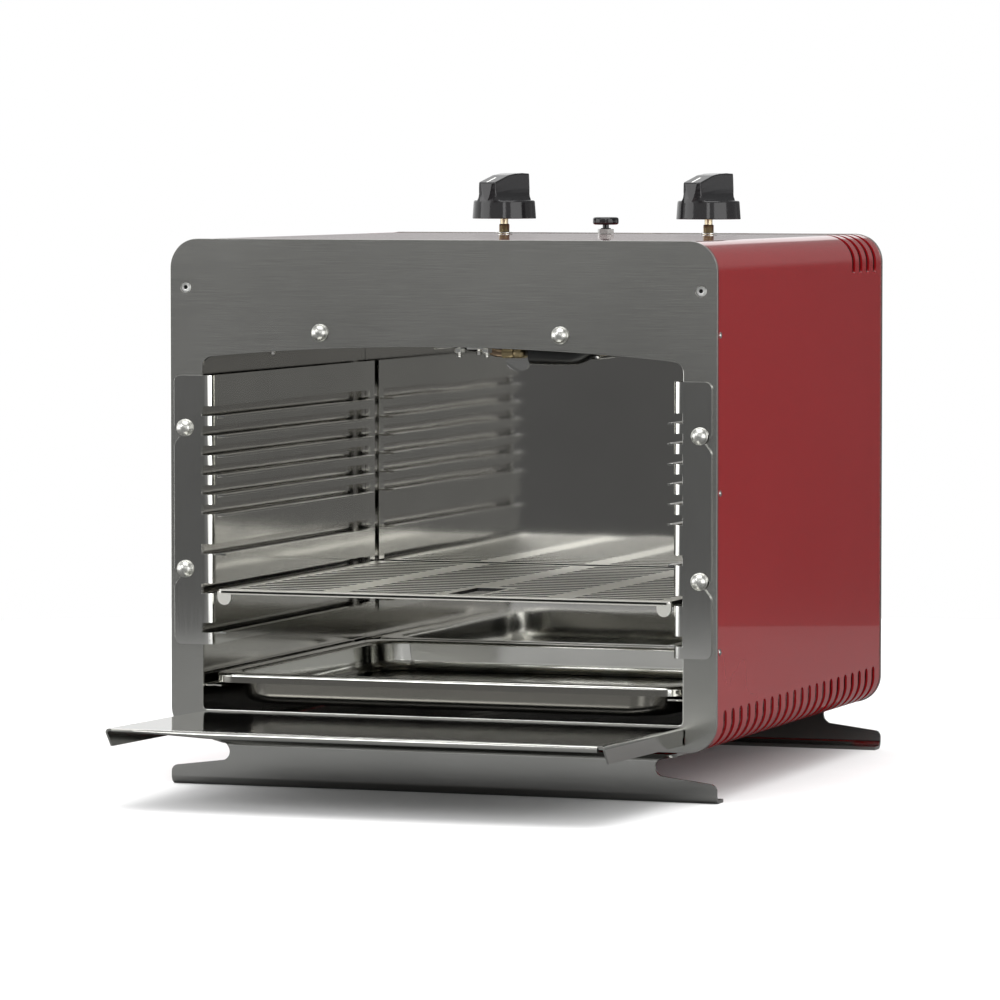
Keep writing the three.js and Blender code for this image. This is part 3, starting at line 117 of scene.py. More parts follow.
def finish(piece, thickness=0, bevel=0, angle=30, smooth=0, sharp=None):
    """Lets the modifiers act once, in millimetres, and keeps the result as the piece's mesh.

    The bevel takes edges above the angle. A flat plate gives a small sharp angle as well: its shading then
    breaks at that angle, and its bevels don't slide along the blank's long triangles.
    """
    if thickness:
        solid = piece.modifiers.new("sheet", "SOLIDIFY")
        solid.thickness, solid.offset, solid.use_even_offset = thickness / 1000, 0, True
    if bevel:
        edge = piece.modifiers.new("edges", "BEVEL")
        edge.width, edge.segments, edge.limit_method = bevel / 1000, 2, "ANGLE"
        edge.angle_limit, edge.use_clamp_overlap = math.radians(angle), True
        edge.miter_outer, edge.loop_slide = "MITER_ARC", not sharp
    if smooth:
        relax = piece.modifiers.new("relax", "SMOOTH")
        relax.iterations, relax.factor = smooth, 0.6
    settle(piece)
    piece.data.polygons.foreach_set("use_smooth", [True] * len(piece.data.polygons))
    piece.data.set_sharp_from_angle(angle=math.radians(sharp or (SHADE_BREAK if bevel else angle)))
    piece.modifiers.new("flats", "WEIGHTED_NORMAL").keep_sharp = True
    return settle(piece)

def settle(piece):
    """Keeps what the modifiers made as the piece's own mesh."""
    depsgraph = bpy.context.evaluated_depsgraph_get()
    done = bpy.data.meshes.new_from_object(piece.evaluated_get(depsgraph))
    piece.modifiers.clear()
    piece.data = done
    done.name = piece.name
    return piece

def joined(name, pieces):
    """Puts the meshes of several pieces into one."""
    work = bmesh.new()
    for piece in pieces:
        work.from_mesh(piece.data)
        bpy.data.objects.remove(piece)
    mesh = bpy.data.meshes.new(name)
    work.to_mesh(mesh)
    work.free()
    return placed(name, mesh)

def mirrored(name, piece):
    """A copy of a piece on the other side of the middle plane."""
    mesh = piece.data.copy()
    mesh.transform(Matrix.Scale(-1, 4, Vector((1, 0, 0))))
    mesh.flip_normals()
    return placed(name, mesh)

print("tools: new_object, clean, finish, joined, mirrored")

# %% [markdown]
# ## Surfaces from grids
# A turned piece is a profile carried round an axis, and a pressed tray is a row of loops laid one inside
# the other. Both are grids of points.

# %%
# Grids, turned pieces and loops
def grid_faces(rows, columns, wrap=False):
    """Numbers the four corners of every cell of a grid of points. Wrapped rows close into rings."""
    i = np.arange(rows - 1)[:, None]
    j = np.arange(columns if wrap else columns - 1)[None, :]
    a = i * columns + j
    b = i * columns + (j + 1) % columns
    return np.stack([a, b, b + columns, a + columns], -1).reshape(-1, 4)

def full_turn(steps):
    """The angles of equal steps once round."""
    return np.linspace(0, 2 * np.pi, steps, endpoint=False)

def turned(name, profile, centre, axis="z", steps=48, hexagons=()):
    """A profile of radius and height, carried round an axis. A radius of zero closes an end.

    The rings that are numbered in hexagons become hexagons whose flats lie at that radius.
    """
    radius, height = np.array(profile, float).T
    angle = full_turn(steps)
    ring = np.repeat(radius[:, None], steps, 1)
    ring[list(hexagons)] /= np.cos(np.mod(angle, np.pi / 3) - np.pi / 6)
    round_x, round_y = ring * np.cos(angle), ring * np.sin(angle)
    along = np.repeat(height[:, None], steps, 1)
    order = {"z": (round_x, round_y, along), "-y": (round_x, -along, round_y),
             "x": (along, round_x, round_y), "-x": (-along, round_x, round_y)}[axis]
    points = np.stack(order, -1).reshape(-1, 3) + np.array(centre, float)
    return clean(new_object(name, to_scene(points), grid_faces(len(radius), steps, wrap=True)))

def rounded(x0, y0, x1, y1, radius, steps=8):
    """A rectangle with round corners, as a loop of points that runs anticlockwise."""
    angle = np.linspace(0, np.pi / 2, steps + 1)
    turn = np.stack([np.cos(angle), np.sin(angle)], -1) * radius
    corners = []
    for k, (cx, cy) in enumerate([(x1, y1), (x0, y1), (x0, y0), (x1, y0)]):
        c, s = [(1, 0), (0, 1), (-1, 0), (0, -1)][k]
        centre = [cx - radius if cx == x1 else cx + radius, cy - radius if cy == y1 else cy + radius]
        corners.append(np.array(centre) + turn @ np.array([[c, s], [-s, c]]))
    return np.concatenate(corners)

def circle(x, y, radius, steps=32):
    """A circle, as a loop of points."""
    angle = full_turn(steps)
    return np.stack([x + radius * np.cos(angle), y + radius * np.sin(angle)], -1)

def curve(a, b, c, steps):
    """A curve from a to c that b pulls to its side: it leaves a towards b and reaches c from b."""
    t = np.linspace(0, 1, steps)[:, None]
    a, b, c = np.array([a, b, c])
    return (1 - t) ** 2 * a + 2 * t * (1 - t) * b + t ** 2 * c

print("a rounded rectangle has", len(rounded(0, 0, 10, 10, 2)), "points")

# %% [markdown]
# ## Cut flat, then bent
# A laser cuts the blank while it is flat, and a press brake bends it. The tool here does the same. The
# blank is an outline with holes, in two numbers: how far along the bending path, and how far across it.
# Extra cut lines are laid where the sheet starts to curve, so that its triangles end there. Then every
# point moves from its place along the flat to the same place along the bent path.

# %%
# The bent path and the sheet that follows it
def bend_path(corners, radius, steps=8, closed=False):
    """The path along the middle of a sheet: straight runs with an arc of the radius at every corner."""
    corners = np.array(corners, float)
    count = len(corners)
    stations = []
    for i, corner in enumerate(corners):
        if not closed and i in (0, count - 1):
            stations.append(corner)
            continue
        before = corner - corners[i - 1]
        after = corners[(i + 1) % count] - corner
        before, after = before / np.linalg.norm(before), after / np.linalg.norm(after)
        turn = math.atan2(before[0] * after[1] - before[1] * after[0], float(before @ after))
        start = corner - before * radius * math.tan(abs(turn) / 2)
        side = np.sign(turn)
        centre = start + np.array([-before[1], before[0]]) * side * radius
        angle = np.linspace(0, turn, steps + 1)
        spoke = np.array([before[1], -before[0]]) * side * radius
        stations.extend(centre + np.stack([spoke[0] * np.cos(angle) - spoke[1] * np.sin(angle),
                                           spoke[0] * np.sin(angle) + spoke[1] * np.cos(angle)], -1))
    stations = np.array(stations)
    if closed:
        stations = np.concatenate([stations, stations[:1]])
    along = np.concatenate([[0], np.cumsum(np.linalg.norm(np.diff(stations, axis=0), axis=1))])
    return along, stations

def anticlockwise(loop):
    """Turns a loop round if the area that it goes round counts as negative."""
    after = np.roll(loop, -1, axis=0)
    return loop if np.sum(loop[:, 0] * after[:, 1] - after[:, 0] * loop[:, 1]) > 0 else loop[::-1]

def blank(outline, holes, cuts):
    """Triangles of a flat blank. The cuts are places along the path where triangles must end."""
    loops = [anticlockwise(np.array(loop, float)) for loop in [outline, *holes]]
    points, edges, faces = [], [], []
    for loop in loops:
        first = len(points)
        points.extend(loop)
        numbers = list(range(first, first + len(loop)))
        edges.extend(zip(numbers, numbers[1:] + numbers[:1]))
        faces.append(numbers)
    low, high = loops[0].min(0), loops[0].max(0)
    for place in cuts:
        if low[0] + 1e-6 < place < high[0] - 1e-6:
            points.extend([[place, low[1] - 1], [place, high[1] + 1]])
            edges.append((len(points) - 2, len(points) - 1))
    result = delaunay_2d_cdt([Vector(p) for p in points], edges, faces, 1, 1e-5)
    vertices = np.array([tuple(v) for v in result[0]])
    inside = [face for face, origin in zip(result[2], result[5]) if list(origin) == [0]]
    return vertices, inside

def sheet(name, path, outline, holes, axes):
    """A blank laid along a path. The axes say which of p, q and across gives x, y and z."""
    along, stations = path
    vertices, faces = blank(outline, holes, along)
    p = np.interp(vertices[:, 0], along, stations[:, 0])
    q = np.interp(vertices[:, 0], along, stations[:, 1])
    points = np.stack([{"p": p, "q": q, "across": vertices[:, 1]}[axis] for axis in axes.split()], -1)
    return clean(new_object(name, to_scene(points), faces))

def flat_sheet(name, outline, holes, axis, place):
    """A blank that stays flat. Its plane stands square to the axis at a place along it."""
    vertices, faces = blank(outline, holes, [])
    points = np.insert(vertices, "xyz".index(axis), place, axis=1)
    return clean(new_object(name, to_scene(points), faces))

test_along = bend_path([(0, 0), (50, 0), (50, 30)], 5)[0]
print("a right angle of radius 5 in an 80 mm path leaves", round(test_along[-1], 2), "mm of sheet")

# %% [markdown]
# ## Camera and light
# The photograph was taken from a little right of the front, about level with the grill's top, with a long
# lens. The room behind the camera was darker than the white background behind the grill, and the polished
# sheets show that: they mirror grey, with bright strips where the lamps stood.

# %%
# Camera
CAMERA_PLACE, LOOK_DOWN, LOOK_LEFT = (1.42745, -3.98349, 0.44855), 0.0585, 0.3444
LENS, SENSOR, FAR_END = 210.42, 36, 50
camera = placed("camera", bpy.data.cameras.new("camera"))
camera.data.lens, camera.data.sensor_width, camera.data.clip_end = LENS, SENSOR, FAR_END
camera.location = CAMERA_PLACE
camera.rotation_euler = (math.pi / 2 - LOOK_DOWN, 0, LOOK_LEFT)
bpy.context.scene.camera = camera
print("camera at", tuple(round(c, 3) for c in camera.location))

# %%
# A short way to write node materials
def material(name):
    """A material with one Principled shader on its output."""
    made = bpy.data.materials.new(name)
    made.use_nodes = True
    tree = made.node_tree
    tree.nodes.clear()
    shader = tree.nodes.new("ShaderNodeBsdfPrincipled")
    output = tree.nodes.new("ShaderNodeOutputMaterial")
    tree.links.new(shader.outputs[0], output.inputs[0])
    return made, tree, shader

def node(tree, kind, links=(), **settings):
    """Adds a node. Settings that start with in_ are its input values, and links are (input, source)."""
    made = tree.nodes.new("ShaderNode" + kind)
    for key, value in settings.items():
        if key.startswith("in_"):
            index = key[3:]
            made.inputs[int(index) if index.isdigit() else index.replace("_", " ")].default_value = value
        else:
            setattr(made, key, value)
    for key, source in links:
        tree.links.new(source, made.inputs[key])
    return made

def ramp(tree, source, stops):
    """Turns a value into a colour or a grey by stops of (place, colour or grey)."""
    made = tree.nodes.new("ShaderNodeValToRGB")
    while len(made.color_ramp.elements) < len(stops):
        made.color_ramp.elements.new(0.5)
    for element, (place, value) in zip(made.color_ramp.elements, stops):
        element.position = place
        element.color = (*value, 1) if isinstance(value, tuple) else (value, value, value, 1)
    tree.links.new(source, made.inputs[0])
    return made.outputs[0]

def noise(tree, place, scale, detail, **more):
    """Noise at a place, with about as many lumps to the metre as the scale says."""
    return node(tree, "TexNoise", [("Vector", place)], in_Scale=scale, in_Detail=detail, **more).outputs[0]

def bump(tree, shader, height, strength, distance, before=()):
    """Lets a height tilt the shader's normal."""
    made = node(tree, "Bump", [("Height", height), *before], in_Strength=strength, in_Distance=distance)
    tree.links.new(made.outputs[0], shader.inputs["Normal"])

def steel(name, color, rough, grain, grain_scale=3200, depth=0.03, spread=0.03, clouds=0.05, waves=0.0):
    """Stainless sheet: fine grain in its roughness and height, large faint clouds and slow waves.

    The grain is noise whose coordinates are squeezed along one axis, so that it draws out into streaks.
    """
    made, tree, shader = material(name)
    place = node(tree, "TexCoord").outputs["Object"]
    stretched = node(tree, "Mapping", [("Vector", place)], in_Scale=grain).outputs[0]
    fine = noise(tree, stretched, grain_scale, 4.0, in_Roughness=0.65)
    large = noise(tree, place, 9.0, 5.0)
    light = tuple(min(c * (1 + clouds), 1) for c in color)
    dark = tuple(c * (1 - clouds) for c in color)
    tree.links.new(ramp(tree, large, [(0.3, dark), (0.7, light)]), shader.inputs["Base Color"])
    tree.links.new(ramp(tree, fine, [(0.3, max(rough - spread, 0.01)), (0.7, rough + spread)]),
                   shader.inputs["Roughness"])
    sway = []
    if waves:
        slow = noise(tree, place, 14.0, 1.0)
        under = node(tree, "Bump", [("Height", slow)], in_Strength=waves, in_Distance=0.002)
        sway = [("Normal", under.outputs[0])]
    bump(tree, shader, fine, depth, 0.0003, sway)
    shader.inputs["Metallic"].default_value = 1
    return made

ALONG_X, ALONG_Y, ALONG_Z = (0.012, 1, 1), (1, 0.012, 1), (1, 1, 0.012)
brushed_steel = steel("brushed_steel", (0.50, 0.50, 0.475), 0.20, ALONG_X, depth=0.07, clouds=0.07)
foot_steel = steel("foot_steel", (0.55, 0.55, 0.53), 0.14, ALONG_X, depth=0.06, clouds=0.07)
shelf_steel = steel("shelf_steel", (0.54, 0.54, 0.51), 0.09, ALONG_X, depth=0.02, waves=0.05)
# Partly painted shade: the side liners get a darker, rougher copy of the back liner's polished steel, as
# they stand in shade behind the cages' windows
shaded_liner_steel = steel("shaded_liner_steel", (0.60, 0.59, 0.56), 0.14, ALONG_Z, depth=0.02)
grate_steel = steel("grate_steel", (0.93, 0.92, 0.86), 0.38, ALONG_X, depth=0.03)
# Painted shade: near black steel for the walls of the grate's slots, which lie in shade
slot_wall_painted_shade = steel("slot_wall_painted_shade", (0.05, 0.05, 0.05), 0.45, ALONG_X, depth=0.02)
tube_steel = steel("tube_steel", (0.05, 0.05, 0.05), 0.38, ALONG_Y, depth=0.02)
old_copper = steel("old_copper", (0.30, 0.22, 0.15), 0.38, ALONG_Z, depth=0.02)
cage_steel = steel("cage_steel", (0.76, 0.76, 0.73), 0.10, ALONG_Z,
                   depth=0.004, spread=0.02, waves=0.10)
mirror_steel = steel("mirror_steel", (0.72, 0.71, 0.68), 0.05, ALONG_Y,
                     depth=0.003, spread=0.015, waves=0.09)
bright_steel = steel("bright_steel", (0.62, 0.62, 0.60), 0.18, ALONG_X, depth=0.02)
pan_steel = steel("pan_steel", (0.60, 0.60, 0.57), 0.10, ALONG_X, depth=0.01, waves=0.06)
# Painted shade: dark steel for the pan's outside below its rim, standing in for its shade and the dark
# things that it mirrors
pan_outside_painted_shade = steel("pan_outside_painted_shade", (0.19, 0.185, 0.17), 0.24, ALONG_X, depth=0.02)
bare_steel = steel("bare_steel", (0.42, 0.42, 0.41), 0.22, ALONG_Y, depth=0.02)
brass = steel("brass", (0.84, 0.74, 0.52), 0.32, ALONG_Z, depth=0.02)
old_brass = steel("old_brass", (0.36, 0.29, 0.17), 0.35, ALONG_Z, depth=0.04)

def powder_coat():
    """Deep red powder coat: a faint orange peel in its height and a clear, glossy skin."""
    made, tree, shader = material("red_powder_coat")
    place = node(tree, "TexCoord").outputs["Object"]
    cloud = noise(tree, place, 6.0, 3.0)
    tree.links.new(ramp(tree, cloud, [(0.0, (0.174, 0.0045, 0.006)), (1.0, (0.194, 0.005, 0.007))]),
                   shader.inputs["Base Color"])
    bump(tree, shader, noise(tree, place, 420.0, 2.0), 0.06, 0.0004)
    tree.links.new(ramp(tree, cloud, [(0.2, 0.22), (0.8, 0.30)]), shader.inputs["Roughness"])
    shader.inputs["Specular IOR Level"].default_value = 0.2
    shader.inputs["Coat Weight"].default_value = 1.0
    shader.inputs["Coat Roughness"].default_value = 0.03
    shader.inputs["Coat IOR"].default_value = 1.3
    return made

def moulded(name, color, rough):
    """Moulded plastic: nearly smooth, with a very fine sparkle grain."""
    made, tree, shader = material(name)
    place = node(tree, "TexCoord").outputs["Object"]
    grain = noise(tree, place, 700.0, 2.0)
    tree.links.new(ramp(tree, grain, [(0.3, tuple(c * 0.8 for c in color)), (0.7, color)]),
                   shader.inputs["Base Color"])
    tree.links.new(ramp(tree, grain, [(0.3, rough * 0.8), (0.7, rough * 1.2)]), shader.inputs["Roughness"])
    bump(tree, shader, grain, 0.05, 0.0002)
    return made

red_coat = powder_coat()
black_plastic = moulded("black_plastic", (0.012, 0.012, 0.013), 0.11)
white_paint = moulded("white_paint", (0.75, 0.75, 0.73), 0.5)
ceramic = moulded("burner_ceramic", (0.62, 0.55, 0.45), 0.85)

def finished(piece, body, look, slot, *nodes):
    """Gives a piece its material and its body, and hides the CAD nodes that it stands for. The slot is not
    used.
    """
    piece.data.materials.clear()
    piece.data.materials.append(look)
    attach(piece, body)
    if nodes:
        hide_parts(*nodes)
    print(piece.name, len(piece.data.polygons), "faces")
    return piece

def face_arrays(piece):
    """The middle and the direction of every face, as two arrays."""
    centres, facing = np.empty((2, 3 * len(piece.data.polygons)))
    piece.data.polygons.foreach_get("center", centres)
    piece.data.polygons.foreach_get("normal", facing)
    return centres.reshape(-1, 3), facing.reshape(-1, 3)

def second_look(piece, look, chosen):
    """Gives the chosen faces a second material."""
    piece.data.materials.append(look)
    piece.data.polygons.foreach_set("material_index", chosen.astype(int))

LOOKS = {"brushed_steel": brushed_steel, "polished_steel": mirror_steel, "bright_steel": bright_steel,
         "red_powder_coat": red_coat, "black_plastic": black_plastic, "brass": brass,
         "burner_ceramic": ceramic}
for part in frame["record"]["subparts"]:
    cad = frame["nodes"][part["node"]]
    cad.data.materials.clear()
    cad.data.materials.append(LOOKS[part["material_slot"]])
print("looks:", sorted(LOOKS))

# %%
# Floor and lamps: the floor is pale, but in mirrors it is as dark as the real room's floor was
FLOOR_RADIUS, FLOOR_STEPS, MIRROR_CHANGE = 1.5, 96, -0.71
turn_round = full_turn(FLOOR_STEPS)
floor_rim = FLOOR_RADIUS * np.stack([np.cos(turn_round), np.sin(turn_round), 0 * turn_round], -1)
floor_disc = new_object("floor", floor_rim, [range(FLOOR_STEPS)])
made, tree, shader = material("floor_paper")
paper = node(tree, "TexNoise", in_Scale=40.0, in_Detail=3.0).outputs[0]
pale = ramp(tree, paper, [(0.3, 0.84), (0.7, 0.86)])
in_mirror = node(tree, "LightPath").outputs["Is Glossy Ray"]
tone = node(tree, "Math", [(0, in_mirror), (2, pale)], operation="MULTIPLY_ADD", in_1=MIRROR_CHANGE)
tree.links.new(tone.outputs[0], shader.inputs["Base Color"])
shader.inputs["Roughness"].default_value = 0.8
floor_disc.data.materials.append(made)

def lamp(name, location, target, size, power):
    """A soft box: a lit rectangle that faces its target and stays out of the picture itself."""
    data = bpy.data.lights.new(name, "AREA")
    data.shape, data.size, data.size_y, data.energy = "RECTANGLE", size[0], size[1], power
    made = placed(name, data)
    made.location = location
    made.rotation_euler = (Vector(target) - Vector(location)).to_track_quat("-Z", "Y").to_euler()
    made.visible_camera = False

lamp("top_light", (0.2, -0.4, 2.4), (0, 0, 0.2), (2.0, 2.0), 40)
lamp("front_light", (-1.6, -3.0, 1.9), (0, 0, 0.2), (1.0, 1.0), 18)
lamp("right_box", (1.25, -0.45, 0.42), (0, -0.1, 0.42), (1.25, 0.84), 6.0)
lamp("left_box", (-1.25, -0.60, 0.42), (0, -0.1, 0.42), (1.1, 0.84), 5.0)
lamp("mouth_light", (0.9, -2.5, 0.85), (0, 0.1, 0.2), (0.5, 0.5), 2.0)

# %%
# The room: white for the camera and soft for the paint. Mirrors see it dark and streaky below, with bright
# windows at its sides, and grey above
world = bpy.data.worlds.new("room")
bpy.context.scene.world = world
world.use_nodes = True
tree = world.node_tree
tree.nodes.clear()
BACKDROP_EDGE = 0.14

def mapped(value, **settings):
    """Carries a value from the range of inputs 1 and 2 to the range of inputs 3 and 4, which is 0 to 1."""
    return node(tree, "MapRange", [("Value", value)], **settings).outputs[0]

def mix(links, **settings):
    """Mixes the colours at inputs 6 and 7. Input 0 is the share of the second one."""
    return node(tree, "Mix", links, data_type="RGBA", **settings).outputs[2]

def toward(direction):
    """How far a view direction points along another direction."""
    return node(tree, "VectorMath", [(0, way)], operation="DOT_PRODUCT", in_1=direction).outputs[1]

way = node(tree, "TexCoord").outputs["Generated"]
parts = node(tree, "SeparateXYZ", [(0, way)])
above = mapped(parts.outputs[2], in_1=-0.02, in_2=0.08)
behind = mapped(parts.outputs[1], in_1=-0.5, in_2=0.7)
low = ramp(tree, behind, [(0.0, 0.105), (1.0, 0.10)])
camera_side = mapped(toward((1, -0.3, 0)), in_1=0.1, in_2=0.6, in_4=0.10)
low = mix([(6, low), (7, camera_side)], blend_type="ADD", in_0=1.0)
aside = node(tree, "Math", [(0, parts.outputs[0])], operation="ABSOLUTE").outputs[0]
side_windows = mapped(aside, in_1=0.54, in_2=0.62, in_4=1.0)
low = mix([(6, low), (7, side_windows)], blend_type="ADD", in_0=1.0)
backdrop = mapped(toward((1, BACKDROP_EDGE, 0)), in_1=0.02, in_2=-0.02, in_3=0.24, in_4=1.1)
high = mix([(0, behind), (7, backdrop)], in_6=(0.6, 0.6, 0.6, 1))
upright = node(tree, "Mapping", [("Vector", way)], in_Scale=(1, 1, 0.12)).outputs[0]
bands = ramp(tree, noise(tree, upright, 5.0, 3.0), [(0.3, 0.70), (0.7, 1.05)])
low = mix([(6, low), (7, bands)], blend_type="MULTIPLY", in_0=1.0)
room = node(tree, "Background", [("Color", mix([(0, above), (6, low), (7, high)]))])
soft = node(tree, "Background", in_Color=(1, 1, 1, 1), in_Strength=1.25)
white = node(tree, "Background", in_Color=(1, 1, 1, 1), in_Strength=1.0)
rays = node(tree, "LightPath")
lit, seen = node(tree, "MixShader"), node(tree, "MixShader")
for mixer, kind, first, second in ((lit, "Is Glossy Ray", soft, room), (seen, "Is Camera Ray", lit, white)):
    for number, source in enumerate((rays.outputs[kind], first.outputs[0], second.outputs[0])):
        tree.links.new(source, mixer.inputs[number])
tree.links.new(seen.outputs[0], node(tree, "OutputWorld").inputs[0])
bpy.context.scene.view_settings.view_transform = "Standard"
print("view transform:", bpy.context.scene.view_settings.view_transform)

# %% [markdown]
# ## Front plate
# The front plate is 3 mm stainless sheet, cut by laser and brushed. It carries everything: the arched
# mouth, the holes for the dome nuts, and two slots low down that the front shelf hooks into. It stays flat.

# %%
# Front plate with its mouth and holes
SIDES = ((-1, "left"), (1, "right"))
CORNER = 21.0
MOUTH_HALF, SILL, SIDE_TOP, CROWN = 180.3, 19.4, 271.5, 280.5
MOUTH_CORNER, SILL_CORNER = 8.0, 3.0
NUT_X, NUT_HEIGHTS, TOP_NUT_X, TOP_NUT_HEIGHT = 193.0, (221.0, 120.0), 90.0, 289.8
SCREW_X, SCREW_HEIGHT = 193.0, 321.3
NUT_HOLE, SCREW_HOLE = 2.9, 3.75
HOOK_SLOT_X, HOOK_SLOT_Z = (179.5, 182.0), (5.5, 16.2)

def mouth():
    """A wide opening whose top is one shallow arc, with small round corners."""
    rise = CROWN - SIDE_TOP
    arch_radius = (MOUTH_HALF ** 2 + rise ** 2) / (2 * rise)
    height = lambda x: CROWN - arch_radius + np.sqrt(arch_radius ** 2 - x ** 2)
    shoulder = MOUTH_HALF - MOUTH_CORNER
    turn = curve([MOUTH_HALF, SIDE_TOP - MOUTH_CORNER], [MOUTH_HALF, SIDE_TOP],
                 [shoulder, height(shoulder)], 9)
    x = np.linspace(shoulder, -shoulder, 40)[1:-1]
    arch = np.stack([x, height(x)], -1)
    low = rounded(-MOUTH_HALF, SILL, MOUTH_HALF, SILL + 40, SILL_CORNER)
    left_low, right_low = np.split(low, 4)[2:]
    return np.concatenate([right_low, turn, arch, (turn * [-1, 1])[::-1], left_low])

plate_outline = rounded(-BODY_HALF, 0, BODY_HALF, BODY_HEIGHT, CORNER, 24)
front_holes = [mouth()]
for side in (-1, 1):
    front_holes += [circle(side * NUT_X, z, NUT_HOLE) for z in NUT_HEIGHTS]
    front_holes += [circle(side * TOP_NUT_X, TOP_NUT_HEIGHT, NUT_HOLE),
                    circle(side * SCREW_X, SCREW_HEIGHT, SCREW_HOLE)]
    slot_x = sorted(side * x for x in HOOK_SLOT_X)
    front_holes.append(rounded(slot_x[0], HOOK_SLOT_Z[0], slot_x[1], HOOK_SLOT_Z[1], 0.5, 2))
front_plate = flat_sheet("front_plate", plate_outline, front_holes, "y", PLATE / 2)
finish(front_plate, thickness=PLATE, bevel=0.35, sharp=5)
finished(front_plate, "grill_body", brushed_steel, "brushed_steel", "front_panel")

# %% [markdown]
# ## Outer shell
# One sheet of 1.5 mm steel is bent round all four long corners and powder-coated deep red. Slots run
# across its lower bends from front to rear, and across the upper bends at the rear, so that air gets in
# and heat gets out. A slot that crosses a bend must be cut while the blank is flat, as here. Only the
# outside is coated: the faces that look inwards and the rivets' heads get the bare steel.

# %%
# Shell wrapped round the body, with its vents and rivets
SHELL, INSET, BEND_STEPS = 1.5, 0.4, 16
KNOB_X, TAP_Y = 82.0, 365.0
RIVET_X, RIVET_Y, RIVET_HEIGHTS = 204.6, 8, (290.8, 181.0, 70.4)
SHELL_FRONT, SHELL_BACK, SHAFT_HOLE, IGNITER_HOLE = 3.25, 409.75, 4.8, 4.25
PAST_THE_COAT, FACES_IN = 204.75, -0.05
side_x = BODY_HALF - INSET - SHELL / 2
low_z, high_z = INSET + SHELL / 2, BODY_HEIGHT - INSET - SHELL / 2
bend = CORNER - INSET - SHELL / 2
shell_corners = [(side_x, low_z), (side_x, high_z), (-side_x, high_z), (-side_x, low_z)]
wrap = bend_path(shell_corners, bend, BEND_STEPS, True)
wrap_along = wrap[0]
quarter = bend * math.pi / 2

def corner_along(number):
    """How far along the path the middle of a numbered corner's arc lies."""
    first = number * (BEND_STEPS + 1)
    return (wrap_along[first] + wrap_along[first + BEND_STEPS]) / 2

VENT_Y, VENT_TOP, VENT_HALF = 21.1 + 18.57 * np.arange(21), 29.2, 4
vent_reach = (VENT_TOP - CORNER) + quarter / 2
vents = []
for number, stations in ((0, VENT_Y), (3, VENT_Y), (1, VENT_Y[-4:]), (2, VENT_Y[-4:])):
    middle = corner_along(number)
    vents += [rounded(middle - vent_reach, y - VENT_HALF, middle + vent_reach, y + VENT_HALF, 3.99, 6)
              for y in stations]
top_middle = (corner_along(1) + corner_along(2)) / 2
holes = [circle(top_middle + side * KNOB_X, TAP_Y, SHAFT_HOLE) for side in (-1, 1)]
holes.append(circle(top_middle, TAP_Y, IGNITER_HOLE))
shell_outline = [(0, SHELL_FRONT), (wrap_along[-1], SHELL_FRONT), (wrap_along[-1], SHELL_BACK),
                 (0, SHELL_BACK)]
shell = sheet("shell_sheet", wrap, shell_outline, vents + holes, "p across q")
finish(shell, thickness=SHELL)
RIVET = [(0, 1.15), (1.1, 1.05), (1.8, 0.75), (2.3, 0.2), (2.3, -0.2), (0, -0.2)]
rivets = []
for side, axis in ((1, "x"), (-1, "-x")):
    for z in RIVET_HEIGHTS:
        rivets.append(finish(turned("rivet", RIVET, (side * RIVET_X, RIVET_Y, z), axis, 24), angle=60))
shell = joined("outer_wrap", [shell] + rivets)
finished(shell, "grill_body", red_coat, "red_powder_coat", "outer_shell")
centres, facing = face_arrays(shell)
outward = centres - to_scene([0, 0, BODY_HEIGHT / 2])
inner = np.sum((outward * facing)[:, [0, 2]], axis=1) < FACES_IN
second_look(shell, bare_steel, inner | (np.abs(centres[:, 0]) > PAST_THE_COAT / 1000))
print(int(inner.sum()), "faces of the shell look inwards and stay bare")

# %%
# Rear plate with its vents
REAR_VENT_STEP, REAR_VENT_HALF, INLET_X, INLET_HEIGHT = 37.133, 4, -140, 297
rear_holes = [rounded(x - REAR_VENT_HALF, 272, x + REAR_VENT_HALF, 308, 3.9)
              for x in (np.arange(7) - 3) * REAR_VENT_STEP]
rear_holes.append(circle(INLET_X, INLET_HEIGHT, 6.75))
rear_plate = flat_sheet("rear_plate", plate_outline, rear_holes, "y", BODY_DEPTH - PLATE / 2)
finish(rear_plate, thickness=PLATE, bevel=0.35, sharp=5)
finished(rear_plate, "grill_body", brushed_steel, "brushed_steel", "rear_panel")

# %% [markdown]
# ## Rail cages
# Each cage is one polished sheet. Its flange hangs on two dome nuts in front of the plate, and its wall
# runs back into the cavity. Windows are cut along the wall, and the strip under each window is folded
# inward as a ledge. The windows run round the bend, so from the front they show as small notches.

# %%
# A cage: flat blank with windows, bent once, with folded ledges
CAGE, CAGE_FACE, CAGE_BEND, FLANGE_END, WALL = 1.5, -1.0, 6.0, 201.5, 173.25
CAGE_LOW, CAGE_TOP, CAGE_BACK = 66.0, 258.5, 323.5
WINDOW_EDGE, WINDOW_BACK, WINDOW_HEIGHT, FOLD_GAP = 180.5, 313, 7.1, 2.25
LEDGE_FRONT, LEDGE_BACK, LEDGE_TIP = 9.0, 308.0, 166.3
RAILS = 229.5 - 14.1 * np.array([0, 1, 2, 3, 4, 5, 7, 9, 11])
cage_path = bend_path([(FLANGE_END, CAGE_FACE), (WALL, CAGE_FACE), (WALL, CAGE_BACK)], CAGE_BEND, 12)
wall_start = cage_path[0][-2]

def wall_along(y):
    """How far along the blank a place on the wall lies."""
    return wall_start + y - (CAGE_FACE + CAGE_BEND)

def hook_slot(z):
    """An open slot from the flange's edge with a round end, and a drop below for lifting the cage off."""
    end = FLANGE_END - NUT_X
    angle = np.radians(np.linspace(60, 300, 13))
    round_end = np.stack([end - NUT_HOLE * np.cos(angle), z + NUT_HOLE * np.sin(angle)], -1)
    lead = curve([2.5, z - 8.5], [0.0, z - 11.0], [0.0, z - 13.5], 7)
    return np.concatenate([[[0.0, z]], round_end, lead])

